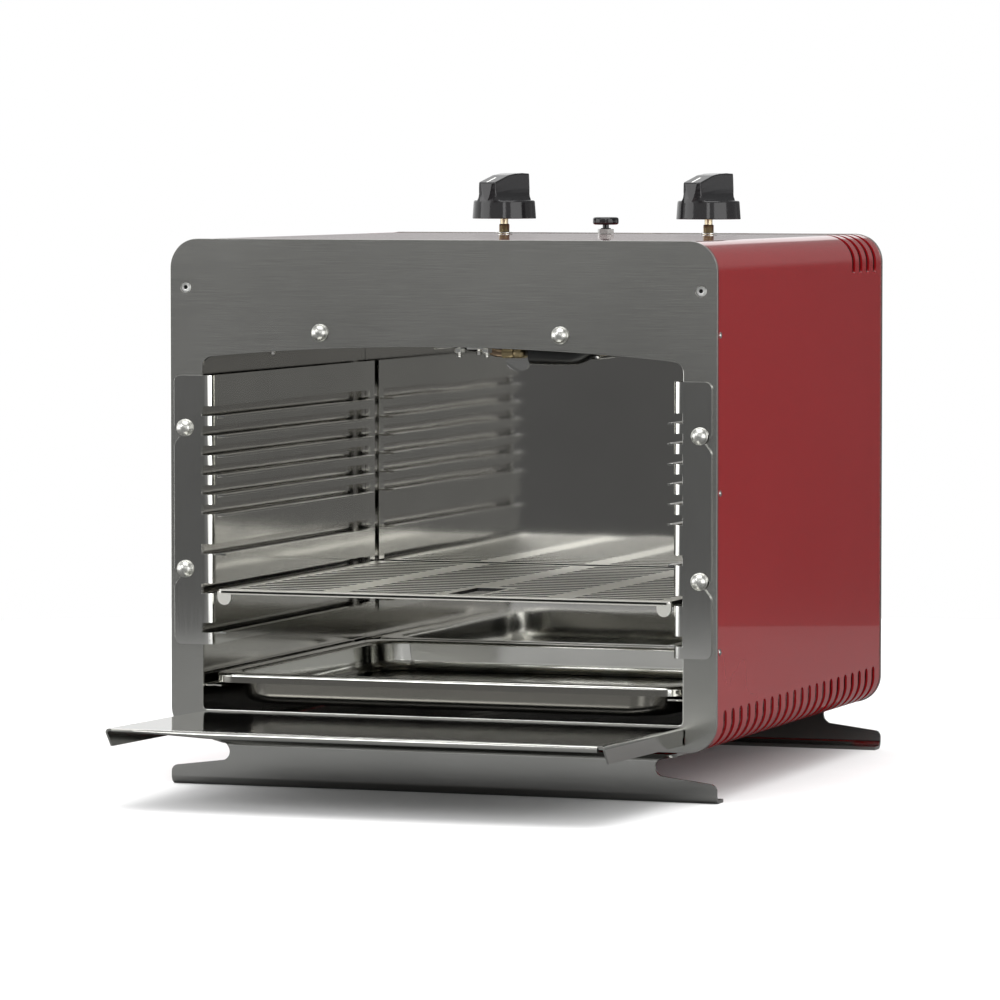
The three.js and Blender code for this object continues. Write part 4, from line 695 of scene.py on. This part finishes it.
def cage_outline():
    """The blank's edge: round outer corners and two hook slots that open at the flange's edge."""
    turn = np.radians(np.linspace(0, 90, 9))
    low_corner = np.stack([5 - 5 * np.cos(turn), CAGE_LOW + 5 - 5 * np.sin(turn)], -1)
    high_corner = np.stack([5 - 5 * np.sin(turn), CAGE_TOP - 5 + 5 * np.cos(turn)], -1)
    end = cage_path[0][-1]
    loop = [low_corner, [[end, CAGE_LOW], [end, CAGE_TOP]], high_corner]
    for z in NUT_HEIGHTS:
        loop.append(hook_slot(z))
    return np.concatenate(loop)

windows = []
start, end = FLANGE_END - WINDOW_EDGE, wall_along(WINDOW_BACK)
step, fold = wall_along(LEDGE_FRONT), wall_along(LEDGE_BACK)
for z in RAILS:
    windows.append([(start, z), (step, z), (step, z - FOLD_GAP), (fold, z - FOLD_GAP), (fold, z), (end, z),
                    (end, z + WINDOW_HEIGHT), (start, z + WINDOW_HEIGHT)])
cage = sheet("cage", cage_path, cage_outline(), windows, "p q across")
ledges = []
for z in RAILS:
    middle = z - CAGE / 2
    fold = bend_path([(WALL, z - FOLD_GAP), (WALL, middle), (LEDGE_TIP, middle)], 1.5, 6)[1]
    y = np.array([LEDGE_FRONT, LEDGE_BACK])
    points = np.stack([np.repeat(fold[:, :1], 2, 1), np.repeat(y[None], len(fold), 0),
                       np.repeat(fold[:, 1:], 2, 1)], -1)
    ledges.append(new_object("ledge", to_scene(points.reshape(-1, 3)), grid_faces(len(fold), 2)))
right_cage = clean(joined("right_cage", [cage] + ledges))
left_cage = mirrored("left_cage", right_cage)
for one in (right_cage, left_cage):
    finish(one, thickness=CAGE, bevel=0.3, angle=40)
finished(right_cage, "grill_body", cage_steel, "polished_steel", "right_rail_cage")
finished(left_cage, "grill_body", cage_steel, "polished_steel", "left_rail_cage")

# %% [markdown]
# ## Dome nuts and screws
# Six low dome nuts sit on the front. They are turned from bar, so fine rings catch the light on them.
# The two countersunk screws in the upper corners have a hexagon socket, painted near black inside as
# painted shade.

# %%
# Dome nuts and screws
def dome_nut(name, x, z, seat):
    """A short collar with an elliptic dome on it, turned round an axis that points to the front."""
    angle = np.radians(np.linspace(0, 90, 12))
    dome = np.stack([5.7 * np.cos(angle), 1.5 + 4.9 * np.sin(angle)], -1)
    profile = [(0, 0.02), (5.9, 0.02), (6.15, 0.3), (6.15, 1.1), (5.95, 1.4), *dome]
    return turned(name, profile, (x, seat, z), "-y", 48)

dome_finish = steel("dome_steel", (0.60, 0.60, 0.57), 0.30, (1, 1, 1), 1500, depth=0.12, spread=0.08)
for side, word in SIDES:
    for z, level in zip(NUT_HEIGHTS, ("upper", "lower")):
        nut = finish(dome_nut(f"{word}_{level}_nut", side * NUT_X, z, -2.0), angle=35)
        finished(nut, "grill_body", dome_finish, "bright_steel", f"dome_nut_{word}_{level}")
    nut = finish(dome_nut(f"{word}_top_nut", side * TOP_NUT_X, TOP_NUT_HEIGHT, -0.25), angle=35)
    finished(nut, "grill_body", dome_finish, "bright_steel", f"dome_nut_top_{word}")

SCREW = [(0, -3.0), (3.5, -3.0), (3.5, -0.45), (3.2, -0.12), (1.75, -0.12), (1.45, -0.3), (1.45, -2.2),
         (0, -2.4)]
SOCKET_RINGS = (4, 5, 6)
screw_finish = steel("screw_steel", (0.82, 0.82, 0.80), 0.30, (1, 1, 1), 1500, depth=0.04)
# Painted shade: near black for the faces inside the screws' sockets, where the recess lies in shade
socket_painted_shade = moulded("socket_painted_shade", (0.010, 0.010, 0.010), 0.7)
SOCKET_RADIUS, SOCKET_START = 0.0017, 0.0004
for side, word in SIDES:
    centre = (side * SCREW_X, 0, SCREW_HEIGHT)
    screw = finish(turned(f"{word}_socket_screw", SCREW, centre, "-y", 48, SOCKET_RINGS), angle=35)
    finished(screw, "grill_body", screw_finish, "bright_steel", f"{word}_panel_screw")
    off = face_arrays(screw)[0] - to_scene(centre)
    in_socket = (np.hypot(off[:, 0], off[:, 2]) < SOCKET_RADIUS) & (off[:, 1] > SOCKET_START)
    # The socket's inner faces get the painted shade
    second_look(screw, socket_painted_shade, in_socket)

# %% [markdown]
# ## Feet
# Each foot is a sheet bent twice into a channel. A notch is cut into each end, so that the grill stands
# on four wide points and a hand or a strap can pass under the body.

# %%
# A foot and its twin
FOOT, FOOT_BEND = 2.5, 5.0
foot_path = bend_path([(16, -33.75), (1.25, -33.75), (1.25, -1.5), (28, -1.5)], FOOT_BEND, 10)

def foot_along(z):
    """How far along the blank a height on the upright wall or its upper bend lies."""
    wall = slice(10, 22)
    return np.interp(z, foot_path[1][wall, 1], foot_path[0][wall])

def foot_outline():
    """One end of the blank, from the ground flange up round the notch to the top flange, then mirrored."""
    turn = np.radians(np.linspace(0, 90, 9))
    arm = np.stack([foot_along(-26 + 5 * np.sin(turn)), 200 + 5 * np.cos(turn)], -1)
    angle = np.radians(np.linspace(270, 90, 17))
    notch = np.stack([foot_along(-10.4 + 6.4 * np.sin(angle)), 166.4 + 6.4 * np.cos(angle)], -1)
    top = foot_path[0][22]
    right = np.concatenate([[[0, 205]], arm, notch, [[top - 2, 175], [foot_path[0][-1], 176]]])
    return np.concatenate([right, (right * [1, -1])[::-1]])

foot = sheet("front_channel", foot_path, foot_outline(), [], "across p q")
rear = mirrored("rear_channel", foot)
rear.data.transform(Matrix.Scale(-1, 4, Vector((0, 1, 0))))
rear.data.transform(Matrix.Translation((0, (BODY_DEPTH + 2 * SHIFT[1]) / 1000, 0)))
rear.data.flip_normals()
for one in (foot, rear):
    finish(one, thickness=FOOT, bevel=0.3, angle=40)
finished(foot, "grill_body", foot_steel, "brushed_steel", "front_foot")
finished(rear, "grill_body", foot_steel, "brushed_steel", "rear_foot")

# %% [markdown]
# ## Front shelf
# The shelf is mirror-polished sheet with a flange bent down along each side and a rolled front edge. Two
# hooks behind it drop through the slots in the front plate, and it tilts up a little towards its front.

# %%
# Shelf with its flanges, rolled edge and hooks. The roll gets flatter towards its left end
SHELF_HALF, SHELF_REACH, FLANGE, SHELF_MID = 180.75, 174.0, 13.0, -0.75
SHELF_LIFT, SHELF_TILT = 0.0184, math.radians(-1)
HEM_HALF, HEM_COLUMNS, HEM_ROWS, HEM_REACH, HEM_DROP, HEM_TAPER = 176.5, 60, 24, 1.4, 1.9, 76
shelf_path = bend_path([(-SHELF_HALF, -FLANGE), (-SHELF_HALF, SHELF_MID), (SHELF_HALF, SHELF_MID),
                        (SHELF_HALF, -FLANGE)], 2.0, 8)
end = shelf_path[0][-1]
shelf_outline = [(0, -0.25), (0, -SHELF_REACH + 11), (10, -SHELF_REACH + 2), (15, -SHELF_REACH + 1.2),
                 (end - 15, -SHELF_REACH + 1.2), (end - 10, -SHELF_REACH + 2), (end, -SHELF_REACH + 11),
                 (end, -0.25)]
shelf = sheet("shelf", shelf_path, shelf_outline, [], "p across q")
finish(shelf, thickness=1.5, bevel=0.2, angle=40)
hem_x = np.linspace(-HEM_HALF, HEM_HALF, HEM_COLUMNS)
fullness = np.clip((hem_x + 178) / HEM_TAPER, 0.25, 1)[None]
hem_angle = np.radians(np.linspace(90, 400, HEM_ROWS))[:, None]
hem_y = -SHELF_REACH + 2 + HEM_REACH * np.cos(hem_angle) + 0 * fullness
hem_z = SHELF_MID + (-HEM_DROP + HEM_DROP * np.sin(hem_angle)) * fullness
hem_points = np.stack([np.repeat(hem_x[None], HEM_ROWS, 0), hem_y, hem_z], -1)
roll = clean(new_object("roll", to_scene(hem_points.reshape(-1, 3)), grid_faces(HEM_ROWS, HEM_COLUMNS)))
finish(roll, thickness=0.9)
hooks = []
hook_outline = [(-4, -12.4), (3.5, -12.4), (3.5, -15.9), (6.5, -15.9), (6.5, -8.4), (5.5, -7.4), (-4, -7.4)]
for side in (-1, 1):
    hook = flat_sheet("hook", hook_outline, [], "x", side * SHELF_HALF)
    hooks.append(finish(hook, thickness=1.5, bevel=0.2))
shelf = joined("rest_shelf", [shelf, roll] + hooks)
tilt = Matrix.Rotation(SHELF_TILT, 4, "X")
shelf.data.transform(Matrix.Translation((0, 0, SHELF_LIFT)) @ HOME @ tilt @ HOME.inverted())
finished(shelf, "grill_body", shelf_steel, "polished_steel", "front_shelf")

# %% [markdown]
# ## Grate
# The grate is a 2.5 mm sheet with rows of narrow slots in four columns. A hand hole lets a hooked tool
# draw it out, and two round tabs at its front stop it against the ledges.

# %%
# Slotted grate with its front lip and tabs. The walls of its slots are painted near black, darker than its
# top, as painted shade inside the slots
GRATE_Z, GRATE_HALF, GRATE = 102.85, 170.5, 2.5
SLOT_LENGTH, SLOT_HALF, ROW_STEP, COLUMN_STEP = 64.75, 4.5, 16, 84.75
HAND_HOLE = (-1, 18, 23, 82)
slots = []
for row in range(19):
    y = 20 + ROW_STEP * row
    for column in range(4):
        x = -GRATE_HALF + 11 + column * COLUMN_STEP
        beside_the_hole = column == 2 and y < HAND_HOLE[3] + SLOT_HALF
        start = HAND_HOLE[2] + 4 if beside_the_hole else x
        slots.append(rounded(start, y - SLOT_HALF, x + SLOT_LENGTH, y + SLOT_HALF, 1.2, 3))
slots.append(rounded(*HAND_HOLE, 4))
grate_outline = rounded(-GRATE_HALF, 3, GRATE_HALF, 321, 3)
grate = flat_sheet("grate_sheet", grate_outline, slots, "z", GRATE_Z + GRATE / 2)
finish(grate, thickness=GRATE, bevel=0.25, sharp=5)
tabs = []
for side in (-1, 1):
    x0, x1 = sorted([side * GRATE_HALF, side * 160.0])
    tab = np.concatenate([[(x1, 104), (x0, 104)], rounded(x0, 94.35, x1, 110, 5.2)[18:]])
    tabs.append(finish(flat_sheet("tab", tab, [], "y", 4.5), thickness=GRATE, bevel=0.25))
lip = flat_sheet("lip", rounded(-167.5, 102.05, 167.5, 104.5, 0.6, 3), [], "y", 4.25)
tabs.append(finish(lip, thickness=GRATE, bevel=0.25))
grate = joined("slotted_grate", [grate] + tabs)
finished(grate, "grate", grate_steel, "bright_steel", "grate")
centres, facing = face_arrays(grate)
low, high = to_scene([0, 8, GRATE_Z]), to_scene([0, 400, GRATE_Z + 2.3])
within = ((centres > low) & (centres < high))[:, 1:].all(axis=1)
# The slot walls get the painted shade
second_look(grate, slot_wall_painted_shade, (np.abs(facing[:, 2]) < 0.3) & within)

# %% [markdown]
# ## Drip pan
# The pan is pressed from thin sheet, in a standard catering size. Its wall stands nearly upright and meets
# the floor in a round fillet, and its rim is flat with a rolled edge. It is drawn as loops, one inside the
# other.

# %%
# Pressed pan with a rolled rim. Its outside below the rim is painted darker than its inside, as painted
# shade and a painted dark reflection
PAN_HALF, PAN_FRONT, PAN_BACK, RIM_TOP, PAN = 177.0, 3.0, 326.0, 45.25, 1.2
PAN_DEPTH, WALL_INSET, FILLET, RIM_BEND, RIM_END, RIM_CURL = 23, 13.2, 8, 2.0, 10.3, 6.5
PAN_CORNER, OUTSIDE_BELOW, RIM_WIDTH = 18, 2.2, 9
arc = np.radians(np.linspace(0, 90, 9))
middle, bend_z, floor_z = PAN / 2, RIM_TOP - PAN / 2 - RIM_BEND, RIM_TOP - PAN_DEPTH + PAN / 2
section = [(middle, RIM_TOP - RIM_CURL)]
section += [(middle + RIM_BEND * (1 - math.cos(a)), bend_z + RIM_BEND * math.sin(a)) for a in arc]
section += [(RIM_END + RIM_BEND * math.sin(a), bend_z + RIM_BEND * math.cos(a)) for a in arc]
section += [(WALL_INSET + FILLET * (1 - math.cos(a)), floor_z + FILLET * (1 - math.sin(a))) for a in arc]
loops = []
for inset, z in section:
    radius = PAN_CORNER + 0.8 * min(inset, WALL_INSET)
    loop = rounded(-PAN_HALF + inset, PAN_FRONT + inset, PAN_HALF - inset, PAN_BACK - inset, radius, 12)
    loops.append(np.column_stack([loop, np.full(len(loop), z)]))
around = len(loops[0])
pan_faces = [list(f) for f in grid_faces(len(loops), around, wrap=True)]
pan_faces.append(list(range((len(loops) - 1) * around, len(loops) * around)))
pan = clean(new_object("pan", to_scene(np.concatenate(loops)), pan_faces))
finish(pan, thickness=PAN, angle=40)
pan.name = "pressed_pan"
finished(pan, "drip_pan", pan_steel, "polished_steel", "drip_pan")
centres, facing = face_arrays(pan)
outward = centres - to_scene([0, 164.5, RIM_TOP])
below_rim = centres[:, 2] < to_scene([0, 0, RIM_TOP - OUTSIDE_BELOW])[2]
outside = below_rim & ((outward * facing).sum(axis=1) > 0)
inner_rim = np.abs(centres[:, 0]) > (PAN_HALF - RIM_WIDTH) / 1000
# The pan's outside below the rim gets the painted shade
second_look(pan, pan_outside_painted_shade, outside & ~inner_rim)

# %% [markdown]
# ## Knobs, shafts and igniter
# The two knobs are glossy black plastic. Each has a round skirt, and a tall grip across it that is lowest
# at its pointer end. They stand on brass shafts. The igniter button sits between them, held by a hex nut.

# %%
# Knobs with their grips and index lines
TOP = 355.85
KNOB_BASE, KNOB_TURN = TOP + 11.2, math.radians(-17)
GRIP_TOP, GRIP_REACH, CREST_REACH, SKIRT_TOP = 34.8, 23.5, 22.6, 14
CREST = np.array([[-1, 0.793], [-0.62, 0.87], [-0.2, 0.955], [0.2, 0.99], [0.6, 1], [1, 0.99]])

def knob(name):
    """The grip is a stack of levels, each as wide as its height asks and no longer than the skirt's circle.

    Its sides lean in towards the crest and spread out just above the skirt. Skirt and grip are fused by a
    voxel remesh and relaxed, as a mould's round edges are.
    """
    skirt = turned(name, [(0, 1.0), (20.8, 1.0), (22.4, 0), (24.4, 0), (24.3, 0.6), (23.4, 13.2),
                          (22.8, SKIRT_TOP), (0, SKIRT_TOP)], (0, 0, 0), "z", 96)
    along = np.linspace(-1, 1, 48)
    top = np.interp(along, CREST[:, 0], CREST[:, 1]) * GRIP_TOP
    share = np.array([0, 0.27, 0.33, 0.41, 0.55, 0.75, 1.0])
    height = 8 + share[:, None] * (top - 8)[None, :]
    above_skirt = (height - SKIRT_TOP) / (GRIP_TOP - SKIRT_TOP)
    spread = 3.0 * np.exp(-np.maximum(height - 13.8, 0) / 1.5)
    half = 8.3 - 0.7 * above_skirt + spread
    reach = along[None, :] * (GRIP_REACH - (GRIP_REACH - CREST_REACH) * np.maximum(above_skirt, 0))
    half = np.minimum(half, np.sqrt(np.maximum(GRIP_REACH ** 2 - reach ** 2, 0.01)))
    right = np.stack([half, reach, height], -1)
    rings = np.concatenate([right, (right * [-1, 1, 1])[::-1]]).transpose(1, 0, 2)
    count = rings.shape[1]
    faces = [list(f) for f in grid_faces(48, count, wrap=True)]
    faces += [list(range(count)), list(range(47 * count, 48 * count))]
    grip = clean(new_object("grip", to_scene(rings.reshape(-1, 3)), faces))
    whole = joined(name, [skirt, grip])
    fuse = whole.modifiers.new("fuse", "REMESH")
    fuse.mode, fuse.voxel_size, fuse.adaptivity = "VOXEL", 0.00045, 0
    finish(whole, smooth=4)
    whole.data.transform(HOME.inverted())
    return whole

def place_knob(piece, x):
    """Turns a piece that was drawn round the origin to its rest angle and sets it on its shaft."""
    piece.data.transform(Matrix.Translation(Vector(to_scene([x, TAP_Y, KNOB_BASE])))
                         @ Matrix.Rotation(KNOB_TURN, 4, "Z"))

for side, word in SIDES:
    body = knob(f"{word}_grip_knob")
    place_knob(body, side * KNOB_X)
    finished(body, f"{word}_knob", black_plastic, "black_plastic", f"{word}_knob")
    reach = np.array([-22.0, -11.0])
    height = np.interp(reach / CREST_REACH, CREST[:, 0], CREST[:, 1]) * GRIP_TOP + 0.12
    line = np.array([[-0.8, reach[0], height[0]], [0.8, reach[0], height[0]], [0.8, reach[1], height[1]],
                     [-0.8, reach[1], height[1]]]) / 1000
    mark = new_object(f"{word}_index_line", line, [(0, 1, 2, 3)])
    place_knob(mark, side * KNOB_X)
    finish(mark, thickness=0.25)
    finished(mark, f"{word}_knob", white_paint, "black_plastic")

# %%
# Threaded shafts, rings and the igniter
def threaded(radius, low, high, pitch=0.8, depth=0.28):
    """A profile that swings in and out once a pitch, as a screw thread does."""
    z = np.arange(low, high, pitch / 6)
    return [(radius - depth * (0.5 + 0.5 * math.cos(2 * math.pi * (h - low) / pitch)), h) for h in z]

for side, word in SIDES:
    x = side * KNOB_X
    rod = [(0, 333.6), (2.9, 333.6), (3, 334), (3, 378.6), (2.6, 379), (0, 379)]
    spindle = turned(f"{word}_brass_spindle", rod, (x, TAP_Y, 0))
    finish(spindle, angle=35)
    finished(spindle, f"{word}_knob", brass, "brass", f"{word}_spindle")
    collar = [(0, 303.3), (5, 303.3), (5, 309.85), (11, 309.85), (11, 345.85), (6, 345.85), (6, 353.85),
              (4.1, 353.85), (4.1, 356), *threaded(4.1, 356.2, 362), (4.1, 362.2), (3.4, 363),
              (3.35, 362.9), (3.35, 350), (0, 350)]
    tap = turned(f"{word}_brass_tap", collar, (x, TAP_Y, 0))
    finish(tap, angle=35)
    nozzle = [(0, 5), (5, 5), (5, 16.8), (4.6, 17), (1.8, 17), (1.8, 8), (0, 8)]
    port = turned("port", nozzle, (x, TAP_Y, 325.85), "-y")
    tap = joined(f"{word}_tap_body", [tap, finish(port, angle=35)])
    finished(tap, "grill_body", brass, "brass", f"{word}_tap")
    washer = [(4.35, 0), (6.0, 0), (6.2, 0.2), (6.2, 0.7), (6.0, 0.9), (4.35, 0.9), (4.35, 0)]
    ring = turned(f"{word}_ring", washer, (x, TAP_Y, TOP))
    finish(ring, angle=35)
    finished(ring, "grill_body", bright_steel, "bright_steel", f"{word}_shaft_ring")

cap = [(0, 337.85), (2.4, 337.85), (2.4, 362.65), (8.2, 362.65), (9.4, 363.1), (9.8, 364.1), (9.8, 367),
       (9.4, 367.9), (8.4, 368.4), (3, 368.45), (0, 368.45)]
button = turned("igniter_cap", cap, (0, TAP_Y, 0))
finish(button, angle=60)
finished(button, "igniter_button", black_plastic, "black_plastic", "igniter_button")
neck = [(0, 319.85), (7.6, 319.85), (8, 320.3), (8, 353.85), (4, 353.85), (4, 356),
        *threaded(4, 356.1, 359.6), (3.6, 360.15), (2.75, 360.15), (2.75, 350), (0, 350)]
stem = turned("igniter_housing", neck, (0, TAP_Y, 0))
finish(stem, angle=35)
finished(stem, "grill_body", black_plastic, "black_plastic", "igniter_body")

# %% [markdown]
# ## Burners, liners and gas line
# These pieces sit inside. Their CAD solids are right as they are, so copies of them are only merged and
# given smooth shading where they are round. The back liner is widened to meet the side liners.

# %%
# Smooth copies of the inner solids
def both(*parts):
    """The left and the right one of every named part."""
    return [f"{word}_{part}" for part in parts for side, word in SIDES]

INNER = {
    "polished_steel": both("liner", "pan_runner") + ["back_liner", "burner_frame"],
    "bright_steel": both("burner_box", "mixing_tube", "jet_bracket", "bracket_nut_outer",
                         "bracket_nut_inner", "thermocouple") + ["igniter_nut"],
    "brass": both("jet", "gas_pipe") + ["gas_manifold", "gas_inlet"],
    "burner_ceramic": both("burner_plaque", "electrode"),
}
# The side liners get the darker steel, which is partly painted shade
INNER_LOOKS = {name: look for part, look in (("liner", shaded_liner_steel), ("mixing_tube", tube_steel),
                                             ("gas_pipe", old_copper), ("jet", old_brass))
               for name in both(part)}
WALL_FROM, WALL_TO, BEND_HEIGHT = 0.175, 0.1818, 0.0024

def meet_the_sides(piece):
    """Widens the back liner's wall, but not its lower bend, until its ends meet the side liners."""
    points = np.empty(3 * len(piece.data.vertices))
    piece.data.vertices.foreach_get("co", points)
    points = points.reshape(-1, 3)
    wall = (np.abs(points[:, 0]) > WALL_FROM) & (points[:, 2] > points[:, 2].min() + BEND_HEIGHT)
    points[wall, 0] = np.sign(points[wall, 0]) * WALL_TO
    piece.data.vertices.foreach_set("co", points.ravel())
    piece.data.update()
    print("points of the back liner moved:", int(wall.sum()))

for slot_name, names in INNER.items():
    for name in names:
        copy = clean(placed(name + "_look", frame["nodes"][name].data.copy()))
        if name == "back_liner":
            meet_the_sides(copy)
        finish(copy, angle=32)
        finished(copy, "grill_body", INNER_LOOKS.get(name, LOOKS[slot_name]), slot_name, name)

# %%
# Two screw tails with their nuts, which hang from the burner frame behind the mouth's top
TAIL_END, FRAME_UNDER = 272.2, 284.3
tail = [(0, TAIL_END), (1.6, TAIL_END), *threaded(2.1, 272.6, 284.2), (0, FRAME_UNDER)]
hex_nut = [(2.0, 275.2), (3.4, 275.2), (3.8, 275.6), (3.8, 278.0), (3.4, 278.4), (2.0, 278.4), (2.0, 275.2)]
for word, x, y in (("left", -1.5, 46.0), ("right", 18.5, 48.0)):
    screw = turned(f"{word}_screw_tail", tail, (x, y, 0), "z", 24)
    nut = turned("tail_nut", hex_nut, (x, y, 0), "z", 6)
    screw = joined(f"{word}_screw_tail", [finish(screw, angle=35), finish(nut, angle=20)])
    finished(screw, "grill_body", screw_finish, "bright_steel")
print("the tails end", round(FRAME_UNDER - TAIL_END, 1), "mm below the frame")
